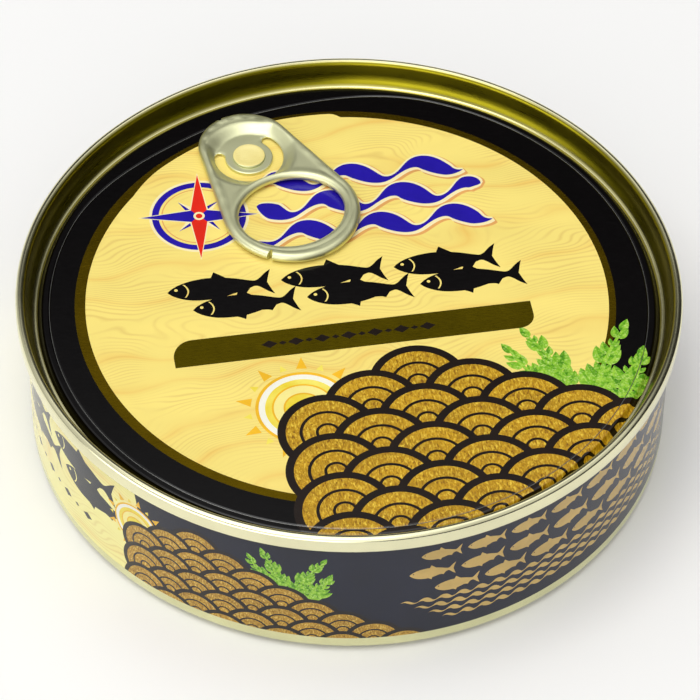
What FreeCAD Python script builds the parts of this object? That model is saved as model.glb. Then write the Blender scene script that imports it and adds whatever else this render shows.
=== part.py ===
# Round, shallow, easy-open fish tin with a ring pull.
#
# Three pieces of metal, sealed together:
#   can_body   drawn body: side wall, rounded foot, recessed underside, closed up to the end
#   lid        easy-open end: double seam, chuck wall, countersink groove, flat panel with a
#              score line that dips in towards the nose of the tab, and the panel's own rivet
#   ring_pull  stamped tab: rolled outer edge, rolled finger hole, sunk island held by the rivet
#
# Frame: origin at the centre of the foot, on the table; +Z up.
# All sizes are in millimetres and live in the spreadsheet "sizes".
import FreeCAD, Part
import math
import os
import Sketcher

V = FreeCAD.Vector
doc = FreeCAD.newDocument("fish_tin")

# ---------------------------------------------------------------- driving sizes
sheet = doc.addObject("Spreadsheet::Sheet", "sizes")
SIZES = [
    ("tin_height", 27.6, "foot to top of the seam"),
    ("seam_rad", 51.15, "outside of the double seam"),
    ("seam_tall", 3.0, "height of the double seam"),
    ("crown_rad", 0.75, "rounding of the seam's top"),
    ("lip_rad", 0.65, "rounding of the seam's lower lip"),
    ("wall_rad", 49.7, "outside of the side wall"),
    ("wall_thick", 0.4, "wall with the end's metal inside it"),
    ("foot_rad", 2.3, "rounding between wall and foot"),
    ("foot_in_rad", 45.9, "inner edge of the flat standing ring"),
    ("foot_toe", 0.3, "rise of the toe inside the standing ring"),
    ("toe_rad", 45.2, "inner end of the toe"),
    ("under_step_rad", 43.6, "outer edge of the raised ring under the tin"),
    ("under_ring_up", 1.3, "height of that raised ring"),
    ("under_mid_rad", 31.0, "inner edge of the raised ring"),
    ("under_flat_rad", 30.0, "edge of the middle field under the tin"),
    ("under_flat_up", 0.7, "height of the middle field"),
    ("panel_drop", 3.3, "seam top down to the panel"),
    ("end_under", 1.4, "panel down to the underside of the end"),
    ("sink_drop", 4.35, "seam top down to the bottom of the countersink"),
    ("sink_mid_rad", 48.25, "radius at which the countersink is deepest"),
    ("sink_round", 0.85, "rounding of the countersink"),
    ("panel_round", 0.5, "rounding of the panel's edge"),
    ("score_rad", 46.05, "score line away from the tab"),
    ("score_dip", 2.25, "how far the score line dips in at the nose of the tab"),
    ("score_flat", 8.0, "half angle of the floor of the dip"),
    ("score_span", 44.0, "half angle of the whole dip"),
    ("score_wide", 0.35, "width of the score line"),
    ("score_deep", 0.12, "depth of the score line"),
    ("rivet_rad_at", 34.5, "rivet from the tin's axis"),
    ("rivet_azim", 118.05, "direction of the rivet, degrees"),
    ("stem_rad", 1.6, "rivet stem"),
    ("rivet_head", 2.6, "rivet head radius"),
    ("rivet_head_tall", 0.4, "rivet head height"),
    ("tab_gap", 0.2, "rolled edge above the panel"),
    ("tab_thick", 1.6, "rolled edge, top to bottom"),
    ("tab_roll", 0.7, "rounding of the outer rolled edge"),
    ("hole_roll", 0.6, "rounding of the finger hole's rolled edge"),
    ("nose_rad", 7.45, "nose of the tab"),
    ("nose_to_rivet", 2.0, "nose centre to rivet"),
    ("ring_rad", 10.8, "tail of the tab"),
    ("nose_to_ring", 16.3, "nose centre to tail centre"),
    ("nose_to_hole", 16.56, "nose centre to finger hole"),
    ("hole_long", 14.9, "finger hole along the tab"),
    ("hole_wide", 17.0, "finger hole across the tab"),
    ("recess_rad", 5.85, "sunk field round the rivet"),
    ("floor_up", 0.4, "sunk field above the underside of the rolled edge"),
    ("recess_round", 0.45, "rounding of the sunk field's rim"),
    ("slot_in_rad", 3.75, "island edge"),
    ("slot_out_rad", 5.5, "outer edge of the slot round the island"),
    ("slot_half_turn", 125.0, "half angle of the slot"),
]
size = {}
for row, (name, value, note) in enumerate(SIZES, start=1):
    sheet.set("A%d" % row, name)
    sheet.set("B%d" % row, repr(value))
    sheet.setAlias("B%d" % row, name)
    sheet.set("C%d" % row, note)
    size[name] = value
doc.recompute()
size = {name: float(sheet.get(name)) for name in size}


# Each profile coordinate is a list of terms: "+alias" or "-alias", (factor, alias), or a number.
# It is given to the sheet as an expression, and summed here for the first placing of the
# geometry, before the solver takes over.
def number(terms):
    total = 0.0
    for term in terms:
        if isinstance(term, tuple):
            total += term[0] * size[term[1]]
        elif isinstance(term, str):
            total += size[term[1:]] * (1.0 if term[0] == "+" else -1.0)
        else:
            total += term
    return total


def expression(terms):
    parts = []
    for term in terms:
        if isinstance(term, tuple):
            parts.append("%s %.6f * sizes.%s" % ("+" if term[0] >= 0 else "-", abs(term[0]), term[1]))
        elif isinstance(term, str):
            parts.append("%s sizes.%s" % (term[0], term[1:]))
        else:
            parts.append("%s %.6f" % ("+" if term >= 0 else "-", abs(term)))
    return " ".join(parts).lstrip("+ ")


def origin_plane(body, role):
    for feature in body.Origin.OriginFeatures:
        if feature.Role == role:
            return feature
    raise ValueError(role)


def new_sketch(body, name, role):
    sketch = body.newObject("Sketcher::SketchObject", name)
    sketch.AttachmentSupport = [(origin_plane(body, role), "")]
    sketch.MapMode = "FlatFace"
    return sketch


def profile_sketch(body, name, points, arcs):
    """Closed half profile in the XZ plane.

    points: list of (x terms, z terms); [] means on the axis or on the table.
    arcs: {i: (radius terms, bulge)} makes the side from point i to i + 1 an arc; bulge is +1 when
    the arc swells to the left of the way from i to i + 1.
    """
    sketch = new_sketch(body, name, "XZ_Plane")
    xz = [(number(px), number(pz)) for px, pz in points]
    count = len(xz)
    for i in range(count):
        a = V(xz[i][0], xz[i][1], 0)
        b = V(xz[(i + 1) % count][0], xz[(i + 1) % count][1], 0)
        if i in arcs:
            radius = number(arcs[i][0])
            chord = b - a
            half = chord.Length / 2.0
            sag = radius - math.sqrt(max(radius * radius - half * half, 0.0))
            left = V(-chord.y, chord.x, 0)
            left.normalize()
            mid = (a + b) * 0.5 + left * (sag * arcs[i][1])
            sketch.addGeometry(Part.Arc(a, mid, b), False)
        else:
            sketch.addGeometry(Part.LineSegment(a, b), False)

    # An arc is stored counter-clockwise, so its start and end may be swapped.
    swapped = []
    for i in range(count):
        start = sketch.Geometry[i].StartPoint
        swapped.append((start - V(xz[i][0], xz[i][1], 0)).Length > 1e-5)

    def ends(i):
        return (2, 1) if swapped[i] else (1, 2)

    for i in range(count):
        j = (i + 1) % count
        sketch.addConstraint(Sketcher.Constraint("Coincident", i, ends(i)[1], j, ends(j)[0]))
    for i, (px, pz) in enumerate(points):
        vertex = ends(i)[0]
        if px:
            k = sketch.addConstraint(Sketcher.Constraint("DistanceX", -1, 1, i, vertex, number(px)))
            sketch.setExpression("Constraints[%d]" % k, expression(px))
        else:
            sketch.addConstraint(Sketcher.Constraint("PointOnObject", i, vertex, -2))
        if pz:
            k = sketch.addConstraint(Sketcher.Constraint("DistanceY", -1, 1, i, vertex, number(pz)))
            sketch.setExpression("Constraints[%d]" % k, expression(pz))
        else:
            sketch.addConstraint(Sketcher.Constraint("PointOnObject", i, vertex, -1))
    for i, (radius, bulge) in arcs.items():
        k = sketch.addConstraint(Sketcher.Constraint("Radius", i, number(radius)))
        sketch.setExpression("Constraints[%d]" % k, expression(radius))
    return sketch


def turned(body, name, sketch):
    feature = body.newObject("PartDesign::Revolution", name)
    feature.Profile = sketch
    feature.ReferenceAxis = (sketch, ["V_Axis"])
    feature.Angle = 360.0
    return feature


# ---------------------------------------------------------------- can_body
can = doc.addObject("PartDesign::Body", "can_body")
can.Label = "can_body"
top_of_wall = ["+tin_height", "-panel_drop"]
bed = ["+tin_height", "-panel_drop", "-end_under"]
can_points = [
    ([], ["+under_flat_up"]),
    (["+under_flat_rad"], ["+under_flat_up"]),
    (["+under_mid_rad"], ["+under_ring_up"]),
    (["+under_step_rad"], ["+under_ring_up"]),
    (["+toe_rad"], ["+foot_toe"]),
    (["+foot_in_rad"], []),
    (["+wall_rad", "-foot_rad"], []),
    (["+wall_rad"], ["+foot_rad"]),
    (["+wall_rad"], top_of_wall),
    (["+wall_rad", "-wall_thick"], top_of_wall),
    (["+wall_rad", "-wall_thick"], bed),
    ([], bed),
]
can_profile = profile_sketch(can, "can_profile", can_points, {6: (["+foot_rad"], -1)})
can_turn = turned(can, "can_turn", can_profile)
can.Tip = can_turn

# ---------------------------------------------------------------- lid
end = doc.addObject("PartDesign::Body", "end_blank")
end.Label = "end_blank"
crown_up = ["+tin_height", "-crown_rad"]
crown_mid = ["+seam_rad", "-crown_rad"]
lean = math.radians(10.7)                       # chuck wall leans in by this much
lean_x = round(math.cos(lean), 6)
lean_z = round(math.sin(lean), 6)
sink_mid_up = ["+tin_height", "-sink_drop", "+sink_round"]
climb_x = round(math.cos(math.radians(150.0)), 6)
climb_z = round(math.sin(math.radians(150.0)), 6)


def plus(terms, name, factor):
    return terms + [(factor, name)]


panel_up = ["+tin_height", "-panel_drop"]
end_points = [
    ([], bed),
    (["+wall_rad", "-wall_thick"], bed),
    (["+wall_rad", "-wall_thick"], panel_up),
    (["+wall_rad"], panel_up),
    (["+wall_rad"], ["+tin_height", "-seam_tall", 0.15]),
    (["+seam_rad", "-lip_rad"], ["+tin_height", "-seam_tall"]),
    (["+seam_rad"], ["+tin_height", "-seam_tall", "+lip_rad"]),
    (["+seam_rad"], crown_up),
    (crown_mid, ["+tin_height"]),
    (plus(crown_mid, "crown_rad", -lean_x), plus(crown_up, "crown_rad", lean_z)),
    (plus(["+sink_mid_rad"], "sink_round", lean_x), plus(sink_mid_up, "sink_round", -lean_z)),
    (["+sink_mid_rad"], ["+tin_height", "-sink_drop"]),
    (plus(["+sink_mid_rad"], "sink_round", climb_x), plus(sink_mid_up, "sink_round", -climb_z)),
    (["+sink_mid_rad", -0.953], ["+tin_height", "-panel_drop", -0.25]),
    (["+sink_mid_rad", -1.386], panel_up),
    ([], panel_up),
]
end_profile = profile_sketch(end, "end_profile", end_points, {
    5: (["+lip_rad"], -1),
    7: (["+crown_rad"], -1),
    8: (["+crown_rad"], -1),
    10: (["+sink_round"], 1),
    11: (["+sink_round"], 1),
    13: (["+panel_round"], -1),
})
end_turn = turned(end, "end_turn", end_profile)

# The rivet: a stem drawn up from the panel and headed over the tab's island.
def rivet_disc(name, radius_terms, up_terms, tall_terms):
    sketch = new_sketch(end, name + "_sketch", "XY_Plane")
    sketch.addGeometry(Part.Circle(V(0, 0, 0), V(0, 0, 1), number(radius_terms)), False)
    sketch.addConstraint(Sketcher.Constraint("Coincident", 0, 3, -1, 1))
    k = sketch.addConstraint(Sketcher.Constraint("Radius", 0, number(radius_terms)))
    sketch.setExpression("Constraints[%d]" % k, expression(radius_terms))
    sketch.setExpression("AttachmentOffset.Base.x", "sizes.rivet_rad_at * cos(sizes.rivet_azim * 1 deg)")
    sketch.setExpression("AttachmentOffset.Base.y", "sizes.rivet_rad_at * sin(sizes.rivet_azim * 1 deg)")
    sketch.setExpression("AttachmentOffset.Base.z", expression(up_terms))
    pad = end.newObject("PartDesign::Pad", name)
    pad.Profile = sketch
    pad.setExpression("Length", expression(tall_terms))
    return pad


island_top = ["+tab_gap", "+floor_up"]
stem = rivet_disc("stem", ["+stem_rad"], panel_up, island_top + ["+rivet_head_tall"])
head = rivet_disc("head", ["+rivet_head"], panel_up + island_top, ["+rivet_head_tall"])
doc.recompute()
head_round = end.newObject("PartDesign::Fillet", "head_round")
head_top = number(panel_up + island_top + ["+rivet_head_tall"])
rim = []
for i, edge in enumerate(head.Shape.Edges, start=1):
    box = edge.BoundBox
    if box.ZMax - box.ZMin < 1e-6 and abs(box.ZMax - head_top) < 1e-6 and abs(box.XLength / 2 - size["rivet_head"]) < 0.01:
        rim.append("Edge%d" % i)
head_round.Base = (head, rim)
head_round.Radius = 0.25
end.Tip = head_round

# The score line: a shallow groove that follows the panel's edge and dips in towards the nose.
def score_at(azimuth, shift):
    away = abs((azimuth - size["rivet_azim"] + 180.0) % 360.0 - 180.0)
    t = (away - size["score_flat"]) / (size["score_span"] - size["score_flat"])
    t = min(max(t, 0.0), 1.0)
    radius = size["score_rad"] - size["score_dip"] * (1.0 - t * t * (3.0 - 2.0 * t)) + shift
    a = math.radians(azimuth)
    return V(radius * math.cos(a), radius * math.sin(a), 0)


def score_wire(shift, steps=90):
    curve = Part.BSplineCurve()
    curve.interpolate([score_at(360.0 * i / steps, shift) for i in range(steps)], PeriodicFlag=True)
    return Part.Wire([curve.toShape()])


panel_z = number(panel_up)
outer = Part.Face(score_wire(size["score_wide"] / 2.0))
inner = Part.Face(score_wire(-size["score_wide"] / 2.0))
ring = outer.cut(inner)
cutter = doc.addObject("Part::Feature", "score_cutter")
cutter.Label = "score_cutter"
cutter.Shape = ring.extrude(V(0, 0, size["score_deep"] + 0.3))
cutter.Placement = FreeCAD.Placement(V(0, 0, panel_z - size["score_deep"]), FreeCAD.Rotation())

lid = doc.addObject("Part::Cut", "lid")
lid.Label = "lid"
lid.Base = end
lid.Tool = cutter

# ---------------------------------------------------------------- ring_pull
# Its own frame: nose centre at the origin, tail towards +X, underside of the rolled edge at z = 0.
tab = doc.addObject("PartDesign::Body", "ring_pull")
tab.Label = "ring_pull"
tab.setExpression("Placement.Base.x", "(sizes.rivet_rad_at + sizes.nose_to_rivet) * cos(sizes.rivet_azim * 1 deg)")
tab.setExpression("Placement.Base.y", "(sizes.rivet_rad_at + sizes.nose_to_rivet) * sin(sizes.rivet_azim * 1 deg)")
tab.setExpression("Placement.Base.z", "sizes.tin_height - sizes.panel_drop + sizes.tab_gap")
tab.Placement.Rotation = FreeCAD.Rotation(V(0, 0, 1), size["rivet_azim"] + 180.0)
tab.setExpression("Placement.Rotation.Angle", "(sizes.rivet_azim + 180) * 1 deg")

outline = new_sketch(tab, "outline", "XY_Plane")
reach = size["nose_to_ring"]
open_angle = math.acos((size["nose_rad"] - size["ring_rad"]) / reach)   # where the flanks touch
nr, rr = size["nose_rad"], size["ring_rad"]
ca, sa = math.cos(open_angle), math.sin(open_angle)
outline.addGeometry(Part.ArcOfCircle(Part.Circle(V(0, 0, 0), V(0, 0, 1), nr), open_angle, 2 * math.pi - open_angle), False)
outline.addGeometry(Part.ArcOfCircle(Part.Circle(V(reach, 0, 0), V(0, 0, 1), rr), -open_angle, open_angle), False)
outline.addGeometry(Part.LineSegment(V(nr * ca, nr * sa, 0), V(reach + rr * ca, rr * sa, 0)), False)
outline.addGeometry(Part.LineSegment(V(nr * ca, -nr * sa, 0), V(reach + rr * ca, -rr * sa, 0)), False)
outline.addConstraint([
    Sketcher.Constraint("Tangent", 0, 1, 2, 1),
    Sketcher.Constraint("Tangent", 2, 2, 1, 2),
    Sketcher.Constraint("Tangent", 1, 1, 3, 2),
    Sketcher.Constraint("Tangent", 3, 1, 0, 2),
    Sketcher.Constraint("Coincident", 0, 3, -1, 1),
    Sketcher.Constraint("PointOnObject", 1, 3, -1),
])
k = outline.addConstraint(Sketcher.Constraint("DistanceX", -1, 1, 1, 3, reach))
outline.setExpression("Constraints[%d]" % k, "sizes.nose_to_ring")
k = outline.addConstraint(Sketcher.Constraint("Radius", 0, nr))
outline.setExpression("Constraints[%d]" % k, "sizes.nose_rad")
k = outline.addConstraint(Sketcher.Constraint("Radius", 1, rr))
outline.setExpression("Constraints[%d]" % k, "sizes.ring_rad")
blank = tab.newObject("PartDesign::Pad", "blank")
blank.Profile = outline
blank.setExpression("Length", "sizes.tab_thick")
doc.recompute()


def level_edges(shape, levels, test=None):
    """Names of the edges that lie flat at one of the given heights."""
    names = []
    for i, edge in enumerate(shape.Edges, start=1):
        box = edge.BoundBox
        if box.ZMax - box.ZMin < 1e-5 and any(abs(box.ZMax - level) < 1e-5 for level in levels):
            if test is None or test(edge):
                names.append("Edge%d" % i)
    return names


rolled = tab.newObject("PartDesign::Fillet", "rolled_edge")
rolled.Base = (blank, level_edges(blank.Shape, [0.0, size["tab_thick"]]))
rolled.setExpression("Radius", "sizes.tab_roll")
doc.recompute()

finger = new_sketch(tab, "finger_sketch", "XY_Plane")
hx, ha, hb = size["nose_to_hole"], size["hole_wide"] / 2.0, size["hole_long"] / 2.0
finger.addGeometry(Part.Ellipse(V(hx, ha, 0), V(hx - hb, 0, 0), V(hx, 0, 0)), False)
finger.exposeInternalGeometry(0)
finger.addConstraint(Sketcher.Constraint("PointOnObject", 0, 3, -1))
finger.addConstraint(Sketcher.Constraint("Vertical", 1))
k = finger.addConstraint(Sketcher.Constraint("DistanceX", -1, 1, 0, 3, hx))
finger.setExpression("Constraints[%d]" % k, "sizes.nose_to_hole")
k = finger.addConstraint(Sketcher.Constraint("Distance", 1, 2 * ha))
finger.setExpression("Constraints[%d]" % k, "sizes.hole_wide")
k = finger.addConstraint(Sketcher.Constraint("Distance", 2, 2 * hb))
finger.setExpression("Constraints[%d]" % k, "sizes.hole_long")
finger_hole = tab.newObject("PartDesign::Pocket", "finger_hole")
finger_hole.Profile = finger
finger_hole.Type = "ThroughAll"
finger_hole.Midplane = True
doc.recompute()

def round_the_hole(edge):
    box = edge.BoundBox
    return abs(box.YLength - size["hole_wide"]) < 0.02


hole_edges = level_edges(finger_hole.Shape, [0.0, size["tab_thick"]], round_the_hole)
hole_round = tab.newObject("PartDesign::Fillet", "hole_round")
hole_round.Base = (finger_hole, hole_edges)
hole_round.setExpression("Radius", "sizes.hole_roll")
doc.recompute()


def disc_sketch(name, radius_name, up):
    sketch = new_sketch(tab, name, "XY_Plane")
    sketch.addGeometry(Part.Circle(V(size["nose_to_rivet"], 0, 0), V(0, 0, 1), size[radius_name]), False)
    sketch.addConstraint(Sketcher.Constraint("PointOnObject", 0, 3, -1))
    k = sketch.addConstraint(Sketcher.Constraint("DistanceX", -1, 1, 0, 3, size["nose_to_rivet"]))
    sketch.setExpression("Constraints[%d]" % k, "sizes.nose_to_rivet")
    k = sketch.addConstraint(Sketcher.Constraint("Radius", 0, size[radius_name]))
    sketch.setExpression("Constraints[%d]" % k, "sizes." + radius_name)
    if up:
        sketch.setExpression("AttachmentOffset.Base.z", up)
    return sketch


recess_sketch = disc_sketch("recess_sketch", "recess_rad", "sizes.tab_thick")
recess = tab.newObject("PartDesign::Pocket", "recess")
recess.Profile = recess_sketch
recess.Type = "Length"
recess.setExpression("Length", "sizes.tab_thick - sizes.floor_up")
doc.recompute()


def round_the_rivet(edge):
    box = edge.BoundBox
    return abs(box.YLength / 2.0 - size["recess_rad"]) < 0.02


recess_rim = tab.newObject("PartDesign::Fillet", "recess_rim")
recess_rim.Base = (recess, level_edges(recess.Shape, [size["tab_thick"], size["floor_up"]], round_the_rivet))
recess_rim.setExpression("Radius", "sizes.recess_round")
doc.recompute()

# The slot round the island: open towards the nose, where the island joins the tab.
slot = new_sketch(tab, "slot_sketch", "XY_Plane")
rx = size["nose_to_rivet"]
half = math.radians(size["slot_half_turn"])
si, so = size["slot_in_rad"], size["slot_out_rad"]
ch, sh = math.cos(half), math.sin(half)
slot.addGeometry(Part.ArcOfCircle(Part.Circle(V(rx, 0, 0), V(0, 0, 1), si), -half, half), False)
slot.addGeometry(Part.ArcOfCircle(Part.Circle(V(rx, 0, 0), V(0, 0, 1), so), -half, half), False)
slot.addGeometry(Part.LineSegment(V(rx + si * ch, si * sh, 0), V(rx + so * ch, so * sh, 0)), False)
slot.addGeometry(Part.LineSegment(V(rx + si * ch, -si * sh, 0), V(rx + so * ch, -so * sh, 0)), False)
slot.addConstraint([
    Sketcher.Constraint("Coincident", 0, 2, 2, 1),
    Sketcher.Constraint("Coincident", 1, 2, 2, 2),
    Sketcher.Constraint("Coincident", 0, 1, 3, 1),
    Sketcher.Constraint("Coincident", 1, 1, 3, 2),
    Sketcher.Constraint("Coincident", 0, 3, 1, 3),
    Sketcher.Constraint("PointOnObject", 0, 3, -1),
    Sketcher.Constraint("PointOnObject", 0, 3, 2),
    Sketcher.Constraint("PointOnObject", 0, 3, 3),
])
k = slot.addConstraint(Sketcher.Constraint("DistanceX", -1, 1, 0, 3, rx))
slot.setExpression("Constraints[%d]" % k, "sizes.nose_to_rivet")
k = slot.addConstraint(Sketcher.Constraint("Radius", 0, si))
slot.setExpression("Constraints[%d]" % k, "sizes.slot_in_rad")
k = slot.addConstraint(Sketcher.Constraint("Radius", 1, so))
slot.setExpression("Constraints[%d]" % k, "sizes.slot_out_rad")
k = slot.addConstraint(Sketcher.Constraint("Angle", 2, half))
slot.setExpression("Constraints[%d]" % k, "sizes.slot_half_turn * 1 deg")
k = slot.addConstraint(Sketcher.Constraint("Angle", 3, -half))
slot.setExpression("Constraints[%d]" % k, "-sizes.slot_half_turn * 1 deg")
slot_cut = tab.newObject("PartDesign::Pocket", "slot_cut")
slot_cut.Profile = slot
slot_cut.Type = "ThroughAll"
slot_cut.Midplane = True
doc.recompute()

# The island is pressed down on the panel, and the rivet's stem goes through it.
island = tab.newObject("PartDesign::Pad", "island")
island.Profile = disc_sketch("island_sketch", "slot_in_rad", None)
island.Reversed = True
island.setExpression("Length", "sizes.tab_gap")
doc.recompute()
stem_hole = tab.newObject("PartDesign::Pocket", "stem_hole")
stem_hole.Profile = disc_sketch("stem_hole_sketch", "stem_rad", None)
stem_hole.Type = "ThroughAll"
stem_hole.Midplane = True
tab.Tip = stem_hole
doc.recompute()

# ---------------------------------------------------------------- checks and export
bad = [o.Name for o in doc.Objects if "Invalid" in o.State or "Error" in o.State]
if bad:
    raise RuntimeError("failed objects: %s" % bad)
os.makedirs("parts", exist_ok=True)
for piece in (can, lid, tab):
    shape = piece.Shape
    if shape.isNull() or not shape.isValid() or len(shape.Solids) != 1:
        raise RuntimeError("bad shape: %s (%d solids)" % (piece.Label, len(shape.Solids)))
    box = shape.BoundBox
    print("%-10s volume %9.1f mm3  faces %3d  x %.2f..%.2f  y %.2f..%.2f  z %.2f..%.2f" % (
        piece.Label, shape.Volume, len(shape.Faces), box.XMin, box.XMax, box.YMin, box.YMax, box.ZMin, box.ZMax))
for a, b in ((can, lid), (can, tab), (lid, tab)):
    print("%s with %s share %.4f mm3" % (a.Label, b.Label, a.Shape.common(b.Shape).Volume))
for piece in (can, lid, tab):
    piece.Shape.exportStep("parts/%s.step" % piece.Label)
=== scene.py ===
# Round easy-open fish tin with a ring pull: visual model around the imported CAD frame.
# Lengths in the mesh code are millimetres; they become metres when a mesh is made.
import bpy
import math
import numpy as np
from mathutils import Matrix, Vector, geometry

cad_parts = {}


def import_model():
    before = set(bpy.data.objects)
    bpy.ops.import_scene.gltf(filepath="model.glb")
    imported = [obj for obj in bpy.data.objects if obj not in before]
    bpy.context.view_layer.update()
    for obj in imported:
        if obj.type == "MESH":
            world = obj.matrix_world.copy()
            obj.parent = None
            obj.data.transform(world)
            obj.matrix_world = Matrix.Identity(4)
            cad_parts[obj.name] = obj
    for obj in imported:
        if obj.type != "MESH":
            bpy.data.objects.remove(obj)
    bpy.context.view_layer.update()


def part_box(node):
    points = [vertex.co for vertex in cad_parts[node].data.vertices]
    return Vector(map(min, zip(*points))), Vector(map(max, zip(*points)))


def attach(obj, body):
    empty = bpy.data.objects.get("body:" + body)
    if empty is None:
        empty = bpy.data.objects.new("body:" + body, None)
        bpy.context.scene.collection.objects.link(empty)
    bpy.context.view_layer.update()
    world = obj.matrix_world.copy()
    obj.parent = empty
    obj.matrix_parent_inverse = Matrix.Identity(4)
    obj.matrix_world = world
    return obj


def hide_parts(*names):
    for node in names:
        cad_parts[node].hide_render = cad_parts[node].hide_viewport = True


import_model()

scene = bpy.context.scene
scene.view_settings.view_transform = "Standard"
scene.view_settings.look = "None"
scene.view_settings.exposure = 0.0
scene.view_settings.gamma = 1.0

RNG = np.random.default_rng(7)


def box_mm(node):
    lo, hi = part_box(node)
    return [c * 1000.0 for c in lo], [c * 1000.0 for c in hi]


LID_LO, LID_HI = box_mm("lid")
CAN_LO, CAN_HI = box_mm("can_body")
TAB_LO, TAB_HI = box_mm("ring_pull")
TOP = LID_HI[2]                     # top of the seam
SEAM_R = LID_HI[0]                  # outside of the seam
WALL_R = CAN_HI[0]                  # outside of the side wall
PANEL = TOP - 3.3                   # flat panel of the end
SINK_R, SINK_ROUND = SEAM_R - 2.9, 0.85
SINK_Z = TOP - 4.35                 # bottom of the countersink
PRINT_R = 47.9                      # the end's print stops in the countersink
NOSE_R, RING_R = 7.45, 10.8
NOSE = np.array([TAB_LO[0] + NOSE_R, TAB_HI[1] - NOSE_R])
TAIL = np.array([TAB_HI[0] - RING_R, TAB_LO[1] + RING_R])
TAB_DIR = (TAIL - NOSE) / np.linalg.norm(TAIL - NOSE)
TAB_LEN = float(np.linalg.norm(TAIL - NOSE))
RIVET = NOSE + 2.0 * TAB_DIR
RIVET_AZ = math.atan2(RIVET[1], RIVET[0])
TURN = 480                          # segments round the tin


# ------------------------------------------------------------------ camera
def make_camera():
    rx, rz = -0.7455330277938289, -0.014522636799592537
    turn = Matrix.Rotation(rz, 3, "Z") @ Matrix.Rotation(rx, 3, "X")
    shift = Vector((-0.3853996, -8.8056685, -651.8354458)) * 0.001
    data = bpy.data.cameras.new("camera")
    data.sensor_fit = "HORIZONTAL"
    data.sensor_width = 36.0
    data.lens = 4120.4707 * 36.0 / 700.0
    data.clip_start, data.clip_end = 0.02, 20.0
    cam = bpy.data.objects.new("camera", data)
    cam.matrix_world = Matrix.Translation(-(turn.transposed() @ shift)) @ turn.transposed().to_4x4()
    scene.collection.objects.link(cam)
    scene.camera = cam


make_camera()


# ------------------------------------------------------------------ node helpers
class Nodes:
    def __init__(self, name):
        self.mat = bpy.data.materials.new(name)
        self.mat.use_nodes = True
        self.tree = self.mat.node_tree
        self.bsdf = next(n for n in self.tree.nodes if n.type == "BSDF_PRINCIPLED")
        self.coord = self.tree.nodes.new("ShaderNodeTexCoord").outputs["Object"]

    def link(self, a, b):
        self.tree.links.new(a, b)

    def mm(self, scale=(1, 1, 1), turn=0.0, at=(0, 0, 0)):
        """Object coordinates in millimetres times scale."""
        n = self.tree.nodes.new("ShaderNodeMapping")
        n.inputs["Scale"].default_value = [1000.0 * s for s in scale]
        n.inputs["Rotation"].default_value = (0, 0, turn)
        n.inputs["Location"].default_value = at
        self.link(self.coord, n.inputs["Vector"])
        return n.outputs[0]

    def noise(self, vec, scale=1.0, detail=2.0, rough=0.5, distortion=0.0):
        n = self.tree.nodes.new("ShaderNodeTexNoise")
        n.inputs["Scale"].default_value = scale
        n.inputs["Detail"].default_value = detail
        n.inputs["Roughness"].default_value = rough
        n.inputs["Distortion"].default_value = distortion
        self.link(vec, n.inputs["Vector"])
        return n.outputs[0]

    def voronoi(self, vec, scale=1.0, feature="F1"):
        n = self.tree.nodes.new("ShaderNodeTexVoronoi")
        n.feature = feature
        n.inputs["Scale"].default_value = scale
        self.link(vec, n.inputs["Vector"])
        return n.outputs["Distance"]

    def math(self, op, a, b=None, c=None, clamp=False):
        n = self.tree.nodes.new("ShaderNodeMath")
        n.operation = op
        n.use_clamp = clamp
        for i, v in enumerate((a, b, c)):
            if v is None:
                continue
            if isinstance(v, (int, float)):
                n.inputs[i].default_value = v
            else:
                self.link(v, n.inputs[i])
        return n.outputs[0]

    def split(self, vec):
        n = self.tree.nodes.new("ShaderNodeSeparateXYZ")
        self.link(vec, n.inputs[0])
        return n.outputs

    def join(self, x, y, z):
        n = self.tree.nodes.new("ShaderNodeCombineXYZ")
        for i, v in enumerate((x, y, z)):
            if isinstance(v, (int, float)):
                n.inputs[i].default_value = v
            else:
                self.link(v, n.inputs[i])
        return n.outputs[0]

    def ramp(self, fac, stops, smooth=True):
        n = self.tree.nodes.new("ShaderNodeValToRGB")
        n.color_ramp.interpolation = "EASE" if smooth else "LINEAR"
        els = n.color_ramp.elements
        while len(els) < len(stops):
            els.new(0.5)
        for e, (p, c) in zip(els, stops):
            e.position = p
            e.color = (*c, 1.0) if len(c) == 3 else c
        self.link(fac, n.inputs[0])
        return n.outputs[0]

    def mix(self, fac, a, b, kind="MIX"):
        n = self.tree.nodes.new("ShaderNodeMix")
        n.data_type = "RGBA"
        n.blend_type = kind
        if isinstance(fac, (int, float)):
            n.inputs[0].default_value = fac
        else:
            self.link(fac, n.inputs[0])
        for i, v in ((6, a), (7, b)):
            if isinstance(v, tuple):
                n.inputs[i].default_value = (*v, 1.0)
            else:
                self.link(v, n.inputs[i])
        return n.outputs[2]

    def span(self, fac, lo, hi, from_lo=0.0, from_hi=1.0):
        n = self.tree.nodes.new("ShaderNodeMapRange")
        n.inputs["From Min"].default_value = from_lo
        n.inputs["From Max"].default_value = from_hi
        n.inputs["To Min"].default_value = lo
        n.inputs["To Max"].default_value = hi
        self.link(fac, n.inputs["Value"])
        return n.outputs[0]

    def bump(self, height, strength, distance_mm):
        n = self.tree.nodes.new("ShaderNodeBump")
        n.inputs["Strength"].default_value = strength
        n.inputs["Distance"].default_value = distance_mm * 0.001
        self.link(height, n.inputs["Height"])
        self.link(n.outputs[0], self.bsdf.inputs["Normal"])

    def set(self, **values):
        for key, v in values.items():
            socket = self.bsdf.inputs[key.replace("_", " ")]
            if isinstance(v, bpy.types.NodeSocket):
                self.link(v, socket)
            elif isinstance(v, tuple):
                socket.default_value = (*v, 1.0)
            else:
                socket.default_value = v


def rgb(r, g, b):
    """sRGB 0-255 to linear."""
    return tuple(((c / 255.0 + 0.055) / 1.055) ** 2.4 if c > 10 else c / 255.0 / 12.92 for c in (r, g, b))


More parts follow.
